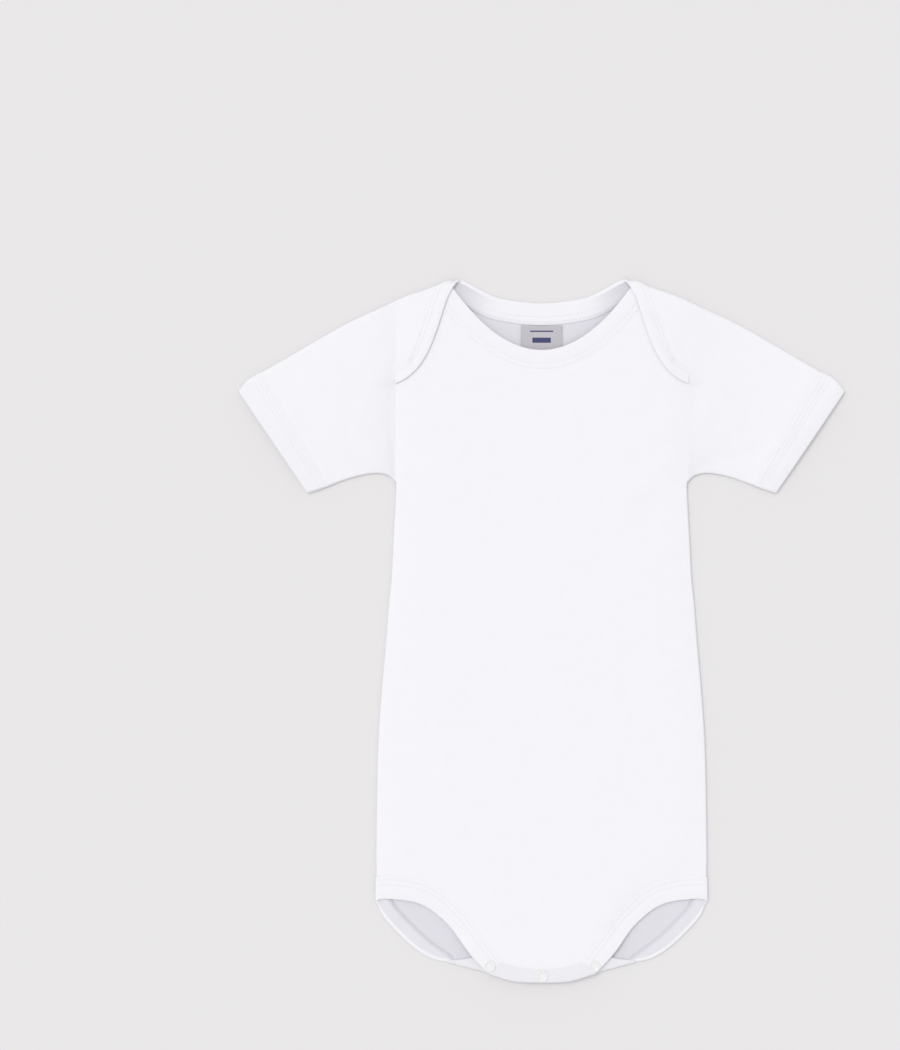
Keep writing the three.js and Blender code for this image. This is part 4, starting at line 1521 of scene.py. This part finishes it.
def make_label():
    columns, rows = 22, 24

    def place(column, row):
        across, along = column / columns, row / rows
        x = (across - 0.5) * LABEL_WIDTH
        curl = LABEL_CURL * (1 - along) ** 2 * (0.4 + abs(2 * across - 1) ** 3)
        wave = LABEL_WAVE * math.sin(5 * across + 2 * along)
        z = LAYER + TAPE + curl + wave * (1 - along) + 0.02
        return (x, along * LABEL_LENGTH), Vector((x, LABEL_TOP - (1 - along) * LABEL_LENGTH, z))

    tape = laid_grid(columns, rows, place)
    piece = make_piece("neck_label", tape, WOVEN_TAPE, ["label"])
    add_wall(piece, TAPE)
    return piece


neck_label = make_label()

# %% [markdown]
# The snaps are moulded in a white plastic with a soft gloss. A thin coat on the shader gives
# the gloss. A fine noise keeps the colour and the surface from looking drawn, as moulded plastic
# is never quite even, and it reads the Object coordinates, because a snap isn't cut from cloth.

# %% Snap finish


def make_plastic():
    material, tree, shader = new_finish("snap_plastic", 0.42)
    shader.inputs["Coat Weight"].default_value = 0.15
    where = tree.nodes.new("ShaderNodeTexCoord")
    grain = tree.nodes.new("ShaderNodeTexNoise")
    grain.inputs["Scale"].default_value = 900
    tree.links.new(where.outputs["Object"], grain.inputs["Vector"])
    colour = mixed_colour(tree, grain.outputs["Fac"], (0.775, 0.775, 0.78), (0.83, 0.83, 0.835))
    tree.links.new(colour, shader.inputs["Base Color"])
    add_relief(tree, grain.outputs["Fac"], 0.2, 0.03)
    return material


PLASTIC = make_plastic()
print("plastic:", PLASTIC.name)

# %% [markdown]
# They are ring snaps: a thin open ring on top of the tab, which clamps the cloth, and a stud on
# the tab below. The ring's section is a few points with rounded shoulders, spun once round. The
# studs are out of sight between the tabs, so the construction's solids stay, with the same
# plastic.

# %% Snap rings
# x and y of each snap
SNAPS = {"left": (-34, -216.8), "middle": (0, -223.4), "right": (34, -216.8)}
TAB_TOP = TAB_LIFT + BINDING
# radius and height of the section, round the ring
RING_SECTION = [
    (3.95, -0.1), (4, 0.15), (3.95, 0.35), (3.75, 0.55), (3.4, 0.66), (2.95, 0.66), (2.6, 0.56),
    (2.35, 0.4), (2.25, 0.24), (2.1, 0.13), (1.5, 0.1), (0.9, 0.14), (0.5, 0.26), (0, 0.3),
]


def make_snap_ring(name, x, y):
    ring = bmesh.new()
    verts = [ring.verts.new((radius * MM, 0, height * MM)) for radius, height in RING_SECTION]
    edges = [ring.edges.new(pair) for pair in zip(verts, verts[1:])]
    bmesh.ops.spin(
        ring, geom=verts + edges, cent=(0, 0, 0), axis=(0, 0, 1), angle=2 * math.pi,
        steps=40, use_merge=True,
    )
    bmesh.ops.remove_doubles(ring, verts=ring.verts, dist=0.001 * MM)
    bmesh.ops.holes_fill(ring, edges=rim_edges(ring), sides=0)
    bmesh.ops.recalc_face_normals(ring, faces=ring.faces)
    bmesh.ops.translate(ring, verts=ring.verts, vec=Vector((x, y, TAB_TOP)) * MM)
    return make_piece(f"snap_ring_{name}", ring, PLASTIC, [f"snap_cap_{name}"])


snap_rings = [make_snap_ring(name, *spot) for name, spot in SNAPS.items()]
for snap_name in SNAPS:
    for material_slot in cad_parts[f"snap_stud_{snap_name}"].material_slots:
        material_slot.material = PLASTIC

# %% [markdown]
# The stitches are real pieces of thread, because a line of small shadows is what makes a seam
# look sewn. A bump could draw them, but would be lost close up and in the exported shapes. One
# stitch is a low grain of thread with six sides. A seam is measured along the laid cloth, and a
# stitch is put at every step, turned along the seam and pressed half into the groove that the
# band's section has there. No two have quite the same length or place.

# %% Stitches along a line
STITCH_LENGTH, STITCH_PITCH = 2.25, 2.75
# half the thread's width, and half its height
THREAD_HALF, THREAD_RISE = 0.24, 0.17


def add_stitches(seam, spots, normals):
    """Puts stitches along a line of points, each with the normal of the cloth there."""
    travelled = [0]
    for a, b in zip(spots, spots[1:]):
        travelled.append(travelled[-1] + (b - a).length)
    count = int(travelled[-1] / STITCH_PITCH)
    pitch = travelled[-1] / count

    def at(distance):
        index = next(i for i in range(1, len(travelled)) if travelled[i] >= distance - 1e-6)
        start, end = travelled[index - 1], travelled[index]
        share = (distance - start) / max(end - start, 1e-6)
        spot = spots[index - 1].lerp(spots[index], share)
        return spot, normals[index - 1].lerp(normals[index], share)

    for number in range(count):
        middle = (number + 0.5 + random.uniform(-0.04, 0.04)) * pitch
        half = STITCH_LENGTH / 2 * random.uniform(0.92, 1.06)
        start, normal = at(max(0, middle - half))
        end, _ = at(min(travelled[-1], middle + half))
        along = (end - start) / 2
        normal = (normal - along * normal.dot(along) / along.length_squared).normalized()
        across = normal.cross(along).normalized()
        turn = Matrix((across * THREAD_HALF, normal * THREAD_RISE, along)).transposed()
        place = Matrix.Translation((start + end) / 2 + normal * 0.02) @ turn.to_4x4()
        bmesh.ops.create_uvsphere(
            seam, u_segments=6, v_segments=4, radius=1, matrix=Matrix.Scale(MM, 4) @ place,
        )


print("stitches to a centimetre:", round(10 / STITCH_PITCH, 1))

# %% [markdown]
# A stitch has to lie flat on the cloth, so a seam needs the cloth's normal at every point. It
# is square to two directions on the cloth: one along the seam, and one a little to its side.

# %% Points and normals along a seam


def seam_line(count, spot_at):
    """spot_at(step, aside) is a point of the cloth, aside that far from the seam."""
    spots = [spot_at(step, 0) for step in range(count)]
    normals = []
    for step in range(count):
        before, after = spots[max(0, step - 1)], spots[min(count - 1, step + 1)]
        aside = spot_at(step, 0.4) - spots[step]
        normals.append((after - before).cross(aside).normalized())
    return spots, normals


def make_stitches(name, lines):
    seam = bmesh.new()
    for spots, normals in lines:
        add_stitches(seam, spots, normals)
    return make_piece(name, seam, THREAD)


# %% [markdown]
# A band's stitches run along its own stations, at the distance of each groove. They are on the
# outer face, and the neck's inner face, which shows inside the collar, has them as well. The
# normals have to point out of the face that is sewn, so they are turned over where they don't.

# %% Stitches of the bands
# how deep a stitch lies on the cloth's outer face
STITCH_DEPTH = STITCH_GROOVE * 0.8


def band_lines(stations, lay, shares, side=1, inner=False, flush_at=always_flush):
    lines = []
    for share in shares:

        def spot_at(step, aside):
            station = stations[step]
            spot = station_point(station, share * station["width"] + aside)
            fallen = flush_at(station["edge"]) * ease(0.3, 0.97, share)
            depth = BINDING if inner else fallen + STITCH_DEPTH
            return lay(side * spot.x, spot.y, depth, BINDING)

        spots, normals = seam_line(len(stations), spot_at)
        outer = [lay(side * s["edge"].x, s["edge"].y, -1, BINDING) for s in stations]
        inside = [lay(side * s["edge"].x, s["edge"].y, 0, BINDING) for s in stations]
        middle = len(stations) // 2
        flip = normals[middle].dot(outer[middle] - inside[middle]) < 0
        if flip != inner:
            normals = [-normal for normal in normals]
        lines.append((spots, normals))
    return lines


neck_stitches = make_stitches("neck_stitches", (
    band_lines(FRONT_NECK, lay_front, NECK_STITCHES)
    + band_lines(BACK_NECK, lay_back, NECK_STITCHES, flush_at=neck_flush)
    + band_lines(BACK_NECK, lay_back, NECK_STITCHES, inner=True)
))
leg_stitches = {
    name: make_stitches(
        f"leg_stitches_{name}",
        band_lines(LEG, lay_leg_side, LEG_STITCHES, side, flush_at=leg_flush),
    )
    for name, side in (("left", -1), ("right", 1))
}

# %% [markdown]
# A cuff's three lines of stitches run all round it, under the sleeve as well.

# %% Stitches of the cuffs


def cuff_lines(side):
    lines = []
    for share in CUFF_STITCHES:

        def spot_at(step, aside):
            at_share = share + aside / CUFF_WIDTH
            spot, _ = cuff_spot(step % RING_COLUMNS, at_share, STITCH_DEPTH)
            return Vector((spot.x * side, spot.y, spot.z))

        spots, normals = seam_line(RING_COLUMNS + 1, spot_at)
        middle = RING_COLUMNS // 4
        if normals[middle].z > 0:
            normals = [-normal for normal in normals]
        lines.append((spots, normals))
    return lines


cuff_stitches = {
    name: make_stitches(f"cuff_stitches_{name}", cuff_lines(side))
    for name, side in (("left", -1), ("right", 1))
}
seams = [neck_stitches, *leg_stitches.values(), *cuff_stitches.values()]
for seam_piece in seams:
    seam_piece.data.calc_loop_triangles()
print("triangles of thread:", sum(len(piece.data.loop_triangles) for piece in seams))

# %% [markdown]
# The area that every piece of cloth was cut to is measured on its cut map. A band, a cuff and
# the front tab are closed skins, so their cut maps hold both faces, and half of that shows.

# %% The cuts
declare_cloth(back_panel)
declare_cloth(front_panel)
declare_cloth(neckband_front, layers=2)
declare_cloth(neckband_back, layers=2)
declare_cloth(front_tab, layers=2)
declare_cloth(back_tab)
declare_cloth(neck_label)
for side_name in ("left", "right"):
    declare_cloth(sleeves[side_name])
    declare_cloth(cuffs[side_name], layers=2)
    declare_cloth(legbands[side_name], layers=2)

# %% [markdown]
# The studio is a plain pale floor, a broad soft lamp from the upper left, and a bright even sky
# that fills the shadows. The shadows stay thin, because the garment is only a few millimetres
# thick. The floor lies a hair below the garment, so that the two don't share a plane.

# %% Floor and light
FLOOR_DROP = 0.2


def make_floor():
    floor = bmesh.new()
    bmesh.ops.create_grid(floor, x_segments=1, y_segments=1, size=4)
    bmesh.ops.translate(floor, verts=floor.verts, vec=(0, 0, -FLOOR_DROP * MM))
    mesh = bpy.data.meshes.new("floor")
    floor.to_mesh(mesh)
    floor.free()
    material = bpy.data.materials.new("pale_floor")
    material.use_nodes = True
    shader = material.node_tree.nodes["Principled BSDF"]
    shader.inputs["Base Color"].default_value = (0.75, 0.737, 0.742, 1)
    shader.inputs["Roughness"].default_value = 0.95
    shader.inputs["Specular IOR Level"].default_value = 0.1
    mesh.materials.append(material)
    plane = bpy.data.objects.new("floor", mesh)
    bpy.context.scene.collection.objects.link(plane)


def make_lamp(name, place, width, strength):
    """A distant lamp, so that both ends of the garment get the same light."""
    lamp = bpy.data.lights.new(name, "SUN")
    lamp.angle = math.radians(width)
    lamp.energy = strength
    lamp_object = bpy.data.objects.new(name, lamp)
    lamp_object.location = place
    lamp_object.rotation_euler = (-Vector(place)).to_track_quat("-Z", "Y").to_euler()
    bpy.context.scene.collection.objects.link(lamp_object)


def make_sky(strength):
    world = bpy.data.worlds.new("sky")
    world.use_nodes = True
    background = world.node_tree.nodes["Background"]
    background.inputs["Color"].default_value = (1, 1, 1, 1)
    background.inputs["Strength"].default_value = strength
    bpy.context.scene.world = world


make_floor()
make_lamp("key", (-0.6, 0.5, 1.7), 26, 0.97)
make_sky(0.815)
bpy.context.scene.view_settings.view_transform = "Standard"
print("lights:", [item.name for item in bpy.data.lights], "and a sky")
